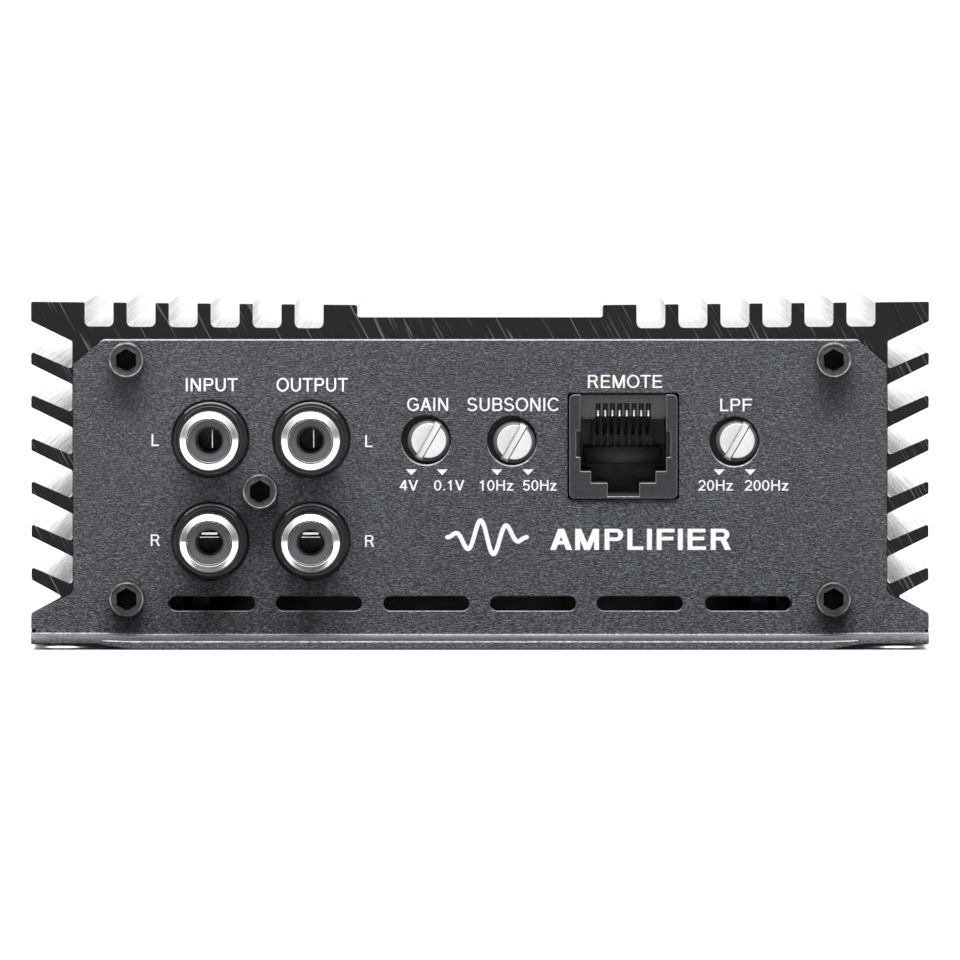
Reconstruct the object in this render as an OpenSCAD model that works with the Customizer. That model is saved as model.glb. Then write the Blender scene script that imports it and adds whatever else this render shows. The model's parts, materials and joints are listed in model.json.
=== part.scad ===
// Compact single-channel car audio amplifier.
// A finned aluminium extrusion closed by two bent sheet end panels and a bottom plate.
// +Z is up, the control panel faces -Y, and X = 0 is the plane of symmetry of the case.

/* [Heatsink] */
// Length of the extrusion, front to back
body_l = 200; // [180:5:240]
// Overall width across the side fins
body_w = 127; // [127:1:129]
// Height of the top outer corners above the mounting surface
body_h = 48.4; // [48:0.1:49]
// How much lower the innermost top fin ends than the corner
top_sag = 0.46; // [0:0.02:0.6]
// Distance between two neighbouring top fins
top_fin_pitch = 5.94; // [5.8:0.02:5.96]
// Width of the groove between two top fins
top_slot_w = 4.07; // [3.6:0.05:4.3]
// Number of grooves on each side of the flat centre band
top_slots = 6; // [3:1:6]
// Distance between two neighbouring side fins
side_fin_pitch = 6.1; // [6:0.05:6.15]
// Number of fins on each side
side_fins = 6; // [4:1:6]
// Half the width of the shallow flat centre band
band_half_w = 17.35; // [16:0.05:17.8]
// Height of the centre band
band_z = 46.2; // [45.8:0.1:46.8]

/* [Panels] */
// Thickness of the end panel sheet
panel_t = 1.2; // [1:0.1:1.5]
// How far the mounting flanges reach beyond the panels
flange_l = 14; // [12:0.5:16]
// Height by which the drilled ears stand above the mounting surface
ear_lift = 0.65; // [0.3:0.05:0.9]
// Diameter of the four mounting holes in the ears
ear_hole_d = 4.5; // [4:0.1:5]
// Thickness of the bottom plate
bottom_t = 1.2; // [1:0.1:1.2]

/* [Controls] */
// Diameter of the potentiometer shafts
shaft_d = 6; // [5.8:0.05:6]
// Radial running clearance of the shafts in their bodies
shaft_gap = 0.05; // [0.03:0.01:0.08]
// Angle of the screwdriver slots above the horizontal
slot_angle = 60; // [40:1:80]
// Width of the screwdriver slots
slot_w = 1; // [0.8:0.1:1.2]

/* [Phono jacks] */
// Outside diameter of the phono jack shells
rca_d = 8.3; // [8.2:0.05:8.4]
// Inside diameter of the phono jack shells
rca_bore_d = 6.3; // [6.2:0.05:6.4]
// How far the shells stand out of the panel
rca_out = 8; // [7:0.5:9]

/* [Display] */
// Which node to build

/* [Hidden] */
$fn = 48;
eps = 0.01; // overlap that merges touching shapes
cut = 1; // how far a cut runs past the surface it opens
fit_gap = 0.02; // gap between two pieces that lie against each other

half_l = body_l / 2;
half_w = body_w / 2;
face_y = half_l + panel_t;
flange_y = face_y + flange_l;

// Extrusion profile
root_x = 57.66;
slot_outer_x = 55.9;
slot_floor_z = 44.97;
slot_floor_fall = 0.37;
slot_corner_r = 0.7;
corner_r = 0.6;
sag_run = half_w - band_half_w;
side_tip_z = 41.34;
side_root_z = 38.8;
side_tip_t = 1.81;
side_root_t = 2.1;
tip_inset = 0.85;
foot_z = 4.3;
notch_x = 59.25;
notch_z = 6.7;
corner_tip_z = 45.6;
corner_root_z = 42.8;
merge_x = root_x - 1; // fins start this far inside the wall
merge_fall = 0.4;
tip_round = side_tip_t / 2 - 0.055;

// Inside of the extrusion
cavity_half_w = 53.4;
rail_x = 45.2;
cavity_z = 41.2;
rail_low_z = 11.2;
rail_high_z = 36;
plate_z = 0.3;
rail_bottom_z = plate_z + bottom_t;

// Fasteners
panel_screw_x = 49.9;
panel_screw_high_z = 40.25;
panel_screw_low_z = 6.45;
screw_r = 1.5;
screw_bore_r = 1.55;
screw_l = 10;
cap_r = 2.53;
cap_h = 3;
hex_r = 1.44;
hex_depth = 1.5;
cap_edge = 0.3;
clear_r = 1.7;
plate_screw_x = 47;
plate_screw_r = 1.2;
plate_bore_r = 1.25;
plate_screw_l = 6;
plate_head_r = 2.4;
plate_head_h = 0.25;
plate_slot = [2.6, 0.6, 1];

// End panels
panel_half_w = 57.5;
panel_h = 43.1;
panel_chamfer_x = 4.4;
panel_chamfer_z = 3.7;
wing_top_z = 7.8;
wing_step = [0.6, 0.9];
wing_edge = 0.3;
panel_foot_z = 0.2;
joggle_in_x = 48.1;
joggle_out_x = 54.2;
ear_x = 58.85;
ear_y = face_y + flange_l / 2;
bend_r = 1;

// Phono jack block
rca_x = [-38.1, -23.84];
rca_z = [29, 14.6];
rca_hole_r = 5.55;
rca_neck_r = rca_d / 2 - 0.1; // slimmer where it passes through the collar
rca_free_l = rca_out - 0.9; // full width only outside the collar
rca_edge = 0.35;
collar_r = 5.25;
collar_out = 0.5;
block_gap = 0.05;
rca_block_x = [-44.9, -17];
rca_block_z = [8.15, 36.2];
rca_block_l = 14;
jack_screw = [-31.05, 21.7];
insulator_r = rca_bore_d / 2 - 0.03;
insulator_bore_r = 1.85;
insulator_in = 1.2;
contact_in = 2.4;
contact_wall = 0.2;
rca_depth = rca_out + panel_t + rca_block_l;

// Potentiometers: panel hole centres, and where the shafts really sit in them
pot_hole_r = 3.5;
pot_holes = [[-7.6, 28.87], [4.52, 28.76], [35.96, 28.66]];
pot_shifts = [[0.36, -0.12], [0.34, -0.24], [0.4, 0.06]];
pot_w = 9.8;
pot_l = 7;
pot_h = 11.5;
pot_back = 0.7;
pot_drop = 5; // from the shaft down to the underside of the body
pot_collar = [0.9, 0.5, 1]; // wall, reach in front of the body, length
pot_foot = [7, 1]; // width, and how far it stays inside the body's depth
pot_bore_l = 5.9;
pin_pitch = 2.5;
pin_w = 0.8;
pin_t = 0.6;
pin_reach = 2;
pin_drop = 3.4;
shaft_r = shaft_d / 2;
shaft_in = 0.15;
shaft_chamfer = 0.5;
shaft_l = 6.2;
slot_depth = 1.1;

// Remote jack
remote_at = [20.25, 27.95];
remote_hole = [15.7, 15];
remote_body = [15.3, 14.7];
remote_l = 17;
remote_out = 0.4;
plug_w = 12.1;
plug_h = 7.69;
plug_top_z = 4.19;
plug_depth = 13;
latch_w = [9.1, 4.45];
latch_h = [1.64, 1.9];
roof_setback = 0.8;
side_pocket = [0.6, 3];
side_pocket_z = [-1.5, 2.14];
ledge_w = 10.8;
ledge_z = [-2.9, -0.43];
ledge_depth = 11.2;
contact_pitch = 1.016;
contact_w = 0.45;
contact_slots = [7.8, 1.9];
contact_count = 8;
contact_from = 1.2;
contact_to = 12.8;
contact_t = 0.4;
contact_root = 1.8; // height above the roof where the contacts begin
contact_bend = 0.3;
contact_fall = 2.5; // how far the free ends hang below the roof

// Boards
board_t = 1.6;
board_z = 6.5;
board_top = board_z + board_t;
board_half_w = 43.6;
board_end_y = half_l - 3;
control_top = remote_at[1] - remote_body[1] / 2;
control_z = control_top - board_t;
control_x = [-14.5, 43];
control_l = 34;

// Vents
vent_x = [-37.9, -22.8, -7.6, 7.5, 22.6, 37.9];
vent_l = 12.1;
vent_h = 2.05;
vent_z = 5.7;

// Rear connectors
terminal_out = 12;
terminal_in = 14;
power_x = [-44, -12];
power_z = [11, 27];
power_ports = [-37.5, -28, -18.5];
power_port_r = [3.9, 1.9, 3.9];
power_screw_r = [2.4, 1.4, 2.4];
speaker_x = [16.5, 43.5];
speaker_z = [12, 25];
speaker_ports = [20.25, 26.75, 33.25, 39.75];
speaker_port_r = 2.3;
speaker_screw_r = 1.6;
terminal_wall = 1.5;
block_side = 0.7;
block_in = 1;
block_gap_in = 0.05;
port_flare = 0.5;
port_in = 4;
set_screw_lift = 0.1;
terminal_slot = [0.8, 1.4];
fuse_x = [-3, 8];
fuse_holder_x = [-9, 14];
fuse_holder_z = [10, 33];
fuse_z = 21.5;
fuse_t = 5.1;
fuse_h = 19.1;
fuse_body_l = 8;
fuse_sunk = 1.5;
blade_w = 5.2;
blade_t = 0.7;
blade_l = 8;
blade_gap = 13.8;
blade_seat_l = 2.9;
fuse_gap = 0.2;
fuse_holder_out = 2;
fuse_seat_y = face_y + fuse_holder_out - fuse_sunk + 0.05;
fuse_cap_l = 2.5;
fuse_waist = [0.7, 0.5];
clip_t = 0.4;
lamp_x = [-2.5, 7.5];
lamp_z = 37.5;
lamp_r = 1.5;
lamp_gap = 0.15;
lamp_stem_l = 6;
lamp_rim = 0.5;
lamp_flange_t = 1;

black_metal = [0.17, 0.18, 0.19];
charcoal = [0.33, 0.35, 0.37];
steel = [0.72, 0.73, 0.75];
chrome = [0.85, 0.86, 0.88];
gold = [0.85, 0.68, 0.35];
black_plastic = [0.1, 0.1, 0.11];
grey_plastic = [0.36, 0.37, 0.39];
white_plastic = [0.9, 0.91, 0.91];
board_green = [0.1, 0.32, 0.2];
copper = [0.72, 0.43, 0.25];
film_yellow = [0.85, 0.83, 0.7];
ferrite_green = [0.25, 0.35, 0.28];
iron_yellow = [0.8, 0.7, 0.2];
sleeve_blue = [0.12, 0.16, 0.3];
pad_grey = [0.75, 0.75, 0.78];
fuse_green = [0.15, 0.5, 0.25];
lens_green = [0.75, 0.85, 0.8];

function top_at(x) = body_h - top_sag * (half_w - x) / sag_run;
function floor_at(x) = slot_floor_z - slot_floor_fall * (half_w - x) / sag_run;

// ---------- helpers ----------

// Stand a flat XZ shape up and give it depth: from y0 towards +Y
module stand(y0, depth) {
    translate([0, y0 + depth, 0])
        rotate([90, 0, 0])
            linear_extrude(height = depth)
                children();
}

// The children and their mirror image across X = 0
module both_sides() {
    children();
    mirror([1, 0, 0])
        children();
}

// A box from a low corner to a high corner
module box(low, high) {
    translate(low)
        cube(high - low);
}

// A rod along Y, from y0 towards +Y
module rod(x, z, r, y0, depth) {
    translate([x, y0 + depth, z])
        rotate([90, 0, 0])
            cylinder(r = r, h = depth);
}

// A socket head cap screw along Y with its head at the face and its shank towards +Y
module cap_screw(shank_l) {
    difference() {
        union() {
            rod(0, 0, cap_r - cap_edge, -cap_h, cap_edge + eps);
            rod(0, 0, cap_r, cap_edge - cap_h, cap_h - cap_edge);
            rod(0, 0, screw_r, 0, shank_l);
        }
        translate([0, hex_depth - cap_h, 0])
            rotate([90, 30, 0])
                cylinder(r = hex_r, h = hex_depth + eps, $fn = 6);
    }
}

// A slotted pan head screw pointing down with its head seat at the origin
module pan_screw(r, head_r, head_h, shank_l) {
    difference() {
        union() {
            cylinder(r = head_r, h = head_h);
            translate([0, 0, -shank_l])
                cylinder(r = r, h = shank_l + eps);
        }
        translate([-head_r, -r / 4, head_h / 2])
            cube([2 * head_r, r / 2, head_h]);
    }
}

// ---------- case ----------

// One groove of the top face, counted inwards from the corner
module top_slot(i) {
    x0 = slot_outer_x - top_slot_w - i * top_fin_pitch;
    z0 = floor_at(x0 + top_slot_w / 2);
    translate([x0, z0]) {
        translate([0, slot_corner_r])
            square([top_slot_w, body_h]);
        translate([slot_corner_r, 0])
            square([top_slot_w - 2 * slot_corner_r, body_h]);
        for (x = [slot_corner_r, top_slot_w - slot_corner_r])
            translate([x, slot_corner_r])
                circle(r = slot_corner_r);
    }
}

// One sloping fin of the side, counted downwards from the top
module side_fin(i) {
    drop = i * side_fin_pitch;
    tip_x = half_w - tip_inset;
    rise = (side_tip_z - side_root_z) * tip_inset / (half_w - root_x);
    translate([0, -drop]) {
        polygon([
            [merge_x, side_root_z - side_root_t - merge_fall],
            [tip_x, side_tip_z - side_tip_t - rise],
            [tip_x, side_tip_z - rise],
            [merge_x, side_root_z - merge_fall]
        ]);
        translate([tip_x, side_tip_z - side_tip_t / 2 - rise])
            circle(r = tip_round);
    }
}

// Right half of the extrusion profile before the inside is cut away
module case_half_outline() {
    polygon([
        [-eps, 0],
        [root_x, 0],
        [root_x, corner_root_z],
        [root_x, top_at(root_x)],
        [band_half_w, top_at(band_half_w)],
        [band_half_w, band_z],
        [-eps, band_z]
    ]);
    polygon([
        [merge_x, corner_root_z - merge_fall],
        [half_w, corner_tip_z],
        [half_w, body_h - corner_r],
        [half_w - corner_r, body_h - corner_r],
        [half_w - corner_r, body_h],
        [merge_x, top_at(merge_x)]
    ]);
    translate([half_w - corner_r, body_h - corner_r])
        circle(r = corner_r);
    polygon([
        [merge_x, 0],
        [half_w, 0],
        [half_w, foot_z],
        [notch_x, notch_z],
        [merge_x, notch_z]
    ]);
    for (i = [0:side_fins - 1])
        side_fin(i);
}

// Right half of the hollow inside the extrusion
module cavity_half() {
    translate([-cut, -cut])
        square([rail_x + cut, cavity_z + cut]);
    translate([0, rail_low_z])
        square([cavity_half_w, rail_high_z - rail_low_z]);
    translate([0, -cut])
        square([cavity_half_w, rail_bottom_z + cut]);
}

module case_half_profile() {
    difference() {
        case_half_outline();
        for (i = [0:top_slots - 1])
            top_slot(i);
        cavity_half();
        for (z = [panel_screw_low_z, panel_screw_high_z])
            translate([panel_screw_x, z])
                circle(r = screw_bore_r);
    }
}

clamp_screw_z = side_root_z - side_root_t / 2 - 2 * side_fin_pitch;
clamp_screw_y = [-30, 5, 40];
clamp_bore_l = 4.2;
plate_screw_inset = 20;
plate_screw_y = [plate_screw_inset - half_l, 0, half_l - plate_screw_inset];

module heatsink() {
    color(black_metal)
        both_sides()
            difference() {
                stand(-half_l, body_l)
                    case_half_profile();
                for (y = plate_screw_y)
                    translate([plate_screw_x, y, rail_bottom_z - eps])
                        cylinder(r = plate_bore_r, h = plate_screw_l + cut);
                for (y = clamp_screw_y)
                    translate([cavity_half_w - eps, y, clamp_screw_z])
                        rotate([0, 90, 0])
                            cylinder(r = screw_bore_r, h = clamp_bore_l);
            }
}

// Outline of the standing part of an end panel
module panel_outline() {
    for (side = [0, 1])
        mirror([side, 0])
            polygon([
                [-eps, panel_foot_z],
                [joggle_in_x, panel_foot_z],
                [joggle_out_x, panel_foot_z + ear_lift],
                [half_w, panel_foot_z + ear_lift],
                [half_w, foot_z - wing_edge],
                [half_w - wing_edge, foot_z],
                [panel_half_w + wing_step[0], wing_top_z - wing_step[1]],
                [panel_half_w, wing_top_z],
                [panel_half_w, panel_h - panel_chamfer_z],
                [panel_half_w - panel_chamfer_x, panel_h],
                [-eps, panel_h]
            ]);
}

// Section of the flange across the case, with both ears raised
module flange_outline() {
    for (side = [0, 1])
        mirror([side, 0])
            polygon([
                [-eps, 0],
                [joggle_in_x, 0],
                [joggle_out_x, ear_lift],
                [half_w, ear_lift],
                [half_w, ear_lift + panel_t],
                [joggle_out_x, ear_lift + panel_t],
                [joggle_in_x, panel_t],
                [-eps, panel_t]
            ]);
}

// Small fillet on the inside of the bend, along X
module bend_fillet(x0, x1, z0) {
    difference() {
        box([x0, -face_y - bend_r, z0 - eps], [x1, -face_y + eps, z0 + bend_r]);
        translate([x0 - cut, -face_y - bend_r, z0 + bend_r])
            rotate([0, 90, 0])
                cylinder(r = bend_r, h = x1 - x0 + 2 * cut);
    }
}

// A bent sheet panel at the front end, with its mounting flange but no openings
module bent_panel() {
    difference() {
        union() {
            stand(-face_y, panel_t)
                panel_outline();
            stand(-flange_y, flange_l + panel_t)
                flange_outline();
            bend_fillet(-joggle_in_x, joggle_in_x, panel_t);
            both_sides()
                bend_fillet(joggle_out_x, half_w, panel_t + ear_lift);
        }
        both_sides() {
            translate([ear_x, -ear_y, -cut])
                cylinder(r = ear_hole_d / 2, h = ear_lift + panel_t + 2 * cut);
            for (z = [panel_screw_low_z, panel_screw_high_z])
                rod(panel_screw_x, z, clear_r, -face_y - cut, panel_t + 2 * cut);
        }
    }
}

// Round-ended slots low in a panel
module vent_cuts() {
    for (x = vent_x)
        stand(-face_y - cut, panel_t + 2 * cut)
            translate([x, vent_z]) {
                square([vent_l - vent_h, vent_h], center = true);
                for (side = [-1, 1])
                    translate([side * (vent_l - vent_h) / 2, 0])
                        circle(r = vent_h / 2);
            }
}

module front_panel() {
    color(charcoal)
        difference() {
            bent_panel();
            vent_cuts();
            for (x = rca_x, z = rca_z)
                rod(x, z, rca_hole_r, -face_y - cut, panel_t + 2 * cut);
            rod(jack_screw[0], jack_screw[1], clear_r, -face_y - cut, panel_t + 2 * cut);
            for (p = pot_holes)
                rod(p[0], p[1], pot_hole_r, -face_y - cut, panel_t + 2 * cut);
            stand(-face_y - cut, panel_t + 2 * cut)
                translate(remote_at)
                    square(remote_hole, center = true);
        }
}

// A rectangular opening in the rear panel with a little room round what it lets through
module rear_cutout(x, z) {
    gap = 0.2;
    box([x[0] - gap, half_l - cut, z[0] - gap], [x[1] + gap, face_y + cut, z[1] + gap]);
}

module rear_panel() {
    color(charcoal)
        difference() {
            rotate([0, 0, 180])
                bent_panel();
            rotate([0, 0, 180])
                vent_cuts();
            rear_cutout(power_x, power_z);
            rear_cutout(speaker_x, speaker_z);
            rear_cutout(fuse_holder_x, fuse_holder_z);
            for (x = lamp_x)
                rod(x, lamp_z, lamp_r + lamp_gap, half_l - cut, panel_t + 2 * cut);
        }
}

module bottom_plate() {
    side_gap = 0.3;
    hole_r = plate_screw_r + 0.2;
    color(charcoal)
        difference() {
            box([side_gap - cavity_half_w, side_gap - half_l, plate_z],
                [cavity_half_w - side_gap, half_l - side_gap, rail_bottom_z - fit_gap]);
            both_sides()
                for (y = plate_screw_y)
                    translate([plate_screw_x, y, -cut])
                        cylinder(r = hole_r, h = rail_bottom_z + 2 * cut);
        }
}

module insulating_sheet() {
    sheet_z = rail_bottom_z + 0.05;
    sheet_t = 0.4;
    hole_r = standoff_r + 0.7;
    color(film_yellow)
        difference() {
            box([-board_half_w, -board_end_y, sheet_z],
                [board_half_w, board_end_y, sheet_z + sheet_t]);
            for (p = standoff_at)
                translate([p[0], p[1], 0])
                    cylinder(r = hole_r, h = board_z);
        }
}

module front_panel_screws() {
    color(black_metal)
        both_sides()
            for (z = [panel_screw_low_z, panel_screw_high_z])
                translate([panel_screw_x, -face_y, z])
                    cap_screw(screw_l);
}

module rear_panel_screws() {
    color(black_metal)
        rotate([0, 0, 180])
            both_sides()
                for (z = [panel_screw_low_z, panel_screw_high_z])
                    translate([panel_screw_x, -face_y, z])
                        cap_screw(screw_l);
}

module jack_block_screw() {
    color(black_metal)
        translate([jack_screw[0], -face_y, jack_screw[1]])
            cap_screw(screw_l);
}

// Thin-headed screws that hold the bottom plate, seen from below
module bottom_plate_screws() {
    color(black_metal)
        both_sides()
            for (y = plate_screw_y)
                translate([plate_screw_x, y, plate_z - fit_gap])
                    rotate([180, 0, 0])
                        difference() {
                            union() {
                                cylinder(r = plate_head_r, h = plate_head_h);
                                translate([0, 0, -plate_screw_l])
                                    cylinder(r = plate_screw_r, h = plate_screw_l + eps);
                            }
                            translate([0, 0, plate_head_h])
                                cube(plate_slot, center = true);
                        }
}

// ---------- phono jacks ----------

module rca_housing() {
    back_y = -half_l + rca_block_l;
    color(black_plastic)
        difference() {
            union() {
                box([rca_block_x[0], block_gap - half_l, rca_block_z[0]],
                    [rca_block_x[1], back_y, rca_block_z[1]]);
                for (x = rca_x, z = rca_z)
                    rod(x, z, collar_r, -face_y - collar_out, panel_t + collar_out + cut);
            }
            for (x = rca_x, z = rca_z)
                rod(x, z, rca_neck_r + fit_gap, -face_y - collar_out - cut,
                    rca_depth + 2 * cut);
            rod(jack_screw[0], jack_screw[1], screw_bore_r, -half_l - cut, screw_l + 2 * cut);
        }
}

// One plated shell, bevelled at the mouth and slimmer where it passes through its collar
module rca_shell(x, z) {
    front_y = -face_y - rca_out;
    color(chrome)
        difference() {
            union() {
                rod(x, z, rca_d / 2 - rca_edge, front_y, rca_edge + eps);
                rod(x, z, rca_d / 2, front_y + rca_edge, rca_free_l);
                rod(x, z, rca_neck_r, front_y + rca_edge, rca_depth - rca_edge);
            }
            rod(x, z, rca_bore_d / 2, front_y - cut, rca_depth + 2 * cut);
        }
}

module input_left_shell() {
    rca_shell(rca_x[0], rca_z[0]);
}

module input_right_shell() {
    rca_shell(rca_x[0], rca_z[1]);
}

module output_left_shell() {
    rca_shell(rca_x[1], rca_z[0]);
}

module output_right_shell() {
    rca_shell(rca_x[1], rca_z[1]);
}

module rca_insulators() {
    front_y = -face_y - rca_out + insulator_in;
    insulator_l = rca_depth - insulator_in;
    color(grey_plastic)
        for (x = rca_x, z = rca_z)
            difference() {
                rod(x, z, insulator_r, front_y, insulator_l);
                rod(x, z, insulator_bore_r, front_y - cut, insulator_l + 2 * cut);
            }
}

module rca_center_contacts() {
    front_y = -face_y - rca_out + contact_in;
    tube_r = insulator_bore_r - fit_gap;
    closed_l = 3;
    color(gold)
        for (x = rca_x, z = rca_z)
            difference() {
                rod(x, z, tube_r, front_y, rca_depth);
                rod(x, z, tube_r - contact_wall, front_y - cut, rca_depth - closed_l + cut);
            }
}

// ---------- controls ----------

function pot_at(i) = pot_holes[i] + pot_shifts[i];

module pot_body(i) {
    at = pot_at(i);
    front_y = -half_l + pot_back;
    color(grey_plastic)
        difference() {
            union() {
                box([at[0] - pot_w / 2, front_y, at[1] - pot_drop],
                    [at[0] + pot_w / 2, front_y + pot_l, at[1] - pot_drop + pot_h]);
                rod(at[0], at[1], shaft_r + pot_collar[0], front_y - pot_collar[1],
                    pot_collar[2]);
                box([at[0] - pot_foot[0] / 2, front_y + pot_foot[1], control_top + fit_gap],
                    [at[0] + pot_foot[0] / 2, front_y + pot_l - pot_foot[1],
                     at[1] - pot_drop + cut]);
            }
            rod(at[0], at[1], shaft_r + shaft_gap, front_y - cut, pot_bore_l);
        }
}

// Slotted shaft end, seen flush with the panel
module pot_shaft(i) {
    at = pot_at(i);
    front_y = -face_y + shaft_in;
    color(white_plastic)
        difference() {
            translate([at[0], front_y, at[1]])
                rotate([-90, 0, 0])
                    rotate_extrude()
                        polygon([
                            [0, 0],
                            [shaft_r - shaft_chamfer, 0],
                            [shaft_r, shaft_chamfer],
                            [shaft_r, shaft_l],
                            [0, shaft_l]
                        ]);
            translate([at[0], front_y, at[1]])
                rotate([0, -slot_angle, 0])
                    cube([shaft_d + cut, 2 * slot_depth, slot_w], center = true);
        }
}

module gain_pot_body() {
    pot_body(0);
}

module gain_pot_shaft() {
    pot_shaft(0);
}

module subsonic_pot_body() {
    pot_body(1);
}

module subsonic_pot_shaft() {
    pot_shaft(1);
}

module lowpass_pot_body() {
    pot_body(2);
}

module lowpass_pot_shaft() {
    pot_shaft(2);
}

// Three bent pins behind each potentiometer
module pot_terminals() {
    back_y = -half_l + pot_back + pot_l;
    color(steel)
        for (i = [0:2], k = [-1:1])
            translate([pot_at(i)[0] + k * pin_pitch, back_y + fit_gap, 0]) {
                box([-pin_w / 2, 0, pot_at(i)[1] - pin_drop - pin_t],
                    [pin_w / 2, pin_reach, pot_at(i)[1] - pin_drop]);
                box([-pin_w / 2, pin_reach - pin_t, control_top + fit_gap],
                    [pin_w / 2, pin_reach, pot_at(i)[1] - pin_drop]);
            }
}

// Modular jack with its latch notch at the bottom and a comb for the contacts at the top
module remote_jack_housing() {
    front_y = -face_y - remote_out;
    floor_z = plug_top_z - plug_h;
    color(grey_plastic) {
        difference() {
            stand(front_y, remote_l)
                translate(remote_at)
                    square(remote_body, center = true);
            stand(front_y - cut, plug_depth + cut)
                translate(remote_at) {
                    translate([-plug_w / 2, floor_z])
                        square([plug_w, plug_h]);
                    translate([-latch_w[0] / 2, floor_z - latch_h[0]])
                        square([latch_w[0], latch_h[0] + eps]);
                    translate([-latch_w[1] / 2, floor_z - latch_h[0] - latch_h[1]])
                        square([latch_w[1], latch_h[1] + 2 * eps]);
                    translate([-contact_slots[0] / 2, plug_top_z - eps])
                        square([contact_slots[0], contact_slots[1]]);
                }
            stand(front_y - cut, roof_setback + cut)
                translate(remote_at + [-plug_w / 2, plug_top_z - eps])
                    square([plug_w, remote_body[1]]);
            stand(front_y - cut, side_pocket[1] + cut)
                translate(remote_at + [-plug_w / 2 - side_pocket[0], side_pocket_z[0]])
                    square([plug_w + 2 * side_pocket[0], side_pocket_z[1] - side_pocket_z[0]]);
        }
        stand(front_y + ledge_depth, plug_depth - ledge_depth + eps)
            translate(remote_at + [-ledge_w / 2, ledge_z[0]])
                square([ledge_w, ledge_z[1] - ledge_z[0]]);
    }
}

// Eight spring contacts that hang from the comb and slope back into the plug space
module remote_jack_contacts() {
    front_y = -face_y - remote_out + contact_from;
    back_y = -face_y - remote_out + contact_to;
    roof_z = remote_at[1] + plug_top_z;
    color(gold)
        for (i = [0:contact_count - 1])
            translate([remote_at[0] + (i - (contact_count - 1) / 2) * contact_pitch, 0, 0])
                rotate([90, 0, 90])
                    linear_extrude(height = contact_w, center = true)
                        polygon([
                            [front_y, roof_z + contact_root],
                            [front_y, roof_z + contact_bend / 3],
                            [front_y + contact_bend, roof_z - contact_bend * 2 / 3],
                            [back_y, roof_z - contact_fall - contact_t],
                            [back_y, roof_z - contact_fall],
                            [front_y + contact_t + contact_bend / 3, roof_z + contact_bend * 2 / 3],
                            [front_y + contact_t, roof_z + contact_root]
                        ]);
}

// ---------- boards ----------

standoff_at = [
    [-40, -80], [40, -80], [-40, 0], [40, 0], [-40, 80], [40, 80]
];
control_spacer_at = [[-12, 30 - half_l], [40, 30 - half_l]];
control_edge = 0.6;
standoff_r = 2.5;
standoff_bore_r = 1.25;
standoff_floor = 1;
spacer_bore_l = 5;
board_screw_r = 1.2;
board_screw_head = [2.4, 1.6];
board_screw_l = 4.5;

module main_board() {
    color(board_green)
        difference() {
            box([-board_half_w, -board_end_y, board_z],
                [board_half_w, board_end_y, board_top]);
            for (p = concat(standoff_at, control_spacer_at))
                translate([p[0], p[1], 0])
                    cylinder(r = clear_r, h = board_top + cut);
        }
}

module control_board() {
    color(board_green)
        difference() {
            box([control_x[0], control_edge - half_l, control_z],
                [control_x[1], control_l - half_l, control_top]);
            for (p = control_spacer_at)
                translate([p[0], p[1], 0])
                    cylinder(r = clear_r, h = control_top + cut);
        }
}

// Double-row pin header that carries the control board's signals down
module board_header() {
    header_x = [2, 30];
    header_y = 25 - half_l;
    header_w = 5;
    color(black_plastic)
        box([header_x[0], header_y, board_top + fit_gap],
            [header_x[1], header_y + header_w, control_z - fit_gap]);
}

module board_standoffs() {
    standoff_h = board_z - rail_bottom_z - 2 * fit_gap;
    spacer_h = control_z - board_top - 2 * fit_gap;
    color(black_plastic) {
        for (p = standoff_at)
            translate([p[0], p[1], rail_bottom_z + fit_gap])
                difference() {
                    cylinder(r = standoff_r, h = standoff_h, $fn = 6);
                    translate([0, 0, standoff_floor])
                        cylinder(r = standoff_bore_r, h = standoff_h);
                }
        for (p = control_spacer_at)
            translate([p[0], p[1], board_top + fit_gap])
                difference() {
                    cylinder(r = standoff_r, h = spacer_h, $fn = 6);
                    translate([0, 0, spacer_h - spacer_bore_l])
                        cylinder(r = standoff_bore_r, h = spacer_bore_l + cut);
                }
    }
}

module board_screws() {
    color(steel) {
        for (p = standoff_at)
            translate([p[0], p[1], board_top + fit_gap])
                pan_screw(board_screw_r, board_screw_head[0], board_screw_head[1], board_screw_l);
        for (p = control_spacer_at)
            translate([p[0], p[1], control_top + fit_gap])
                pan_screw(board_screw_r, board_screw_head[0], board_screw_head[1], board_screw_l);
    }
}

// ---------- power electronics ----------

transformer_at = [0, -20, board_top + 3];
inductor_at = [24, 52, board_top + 2.5];
choke_at = [-26, 56, board_top + 2.5];
transformer_size = [11, 20, 16]; // inner radius, outer radius, height of the ring
inductor_size = [8, 15, 13];
choke_size = [6, 12, 10];
transformer_wire = 1.6;
inductor_wire = 1.4;
choke_wire = 1.3;
winding_gap = 0.3;

// A ring core lying flat
module ring_core(at, size) {
    translate(at)
        rotate_extrude()
            translate([size[0], 0])
                square([size[1] - size[0], size[2]]);
}

// A hollow winding wrapped round part of a ring core
module ring_winding(at, size, wire, start, angle) {
    r_in = size[0];
    r_out = size[1];
    h = size[2];
    gap = winding_gap;
    translate(at)
        rotate([0, 0, start])
            rotate_extrude(angle = angle)
                difference() {
                    translate([r_in - gap - wire, -gap - wire])
                        square([r_out - r_in + 2 * (gap + wire), h + 2 * (gap + wire)]);
                    translate([r_in - gap, -gap])
                        square([r_out - r_in + 2 * gap, h + 2 * gap]);
                }
}

module transformer_core() {
    color(ferrite_green)
        ring_core(transformer_at, transformer_size);
}

module transformer_windings() {
    color(copper)
        for (start = [5, 185])
            ring_winding(transformer_at, transformer_size, transformer_wire, start, 170);
}

module output_inductor_core() {
    color(iron_yellow)
        ring_core(inductor_at, inductor_size);
}

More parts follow.
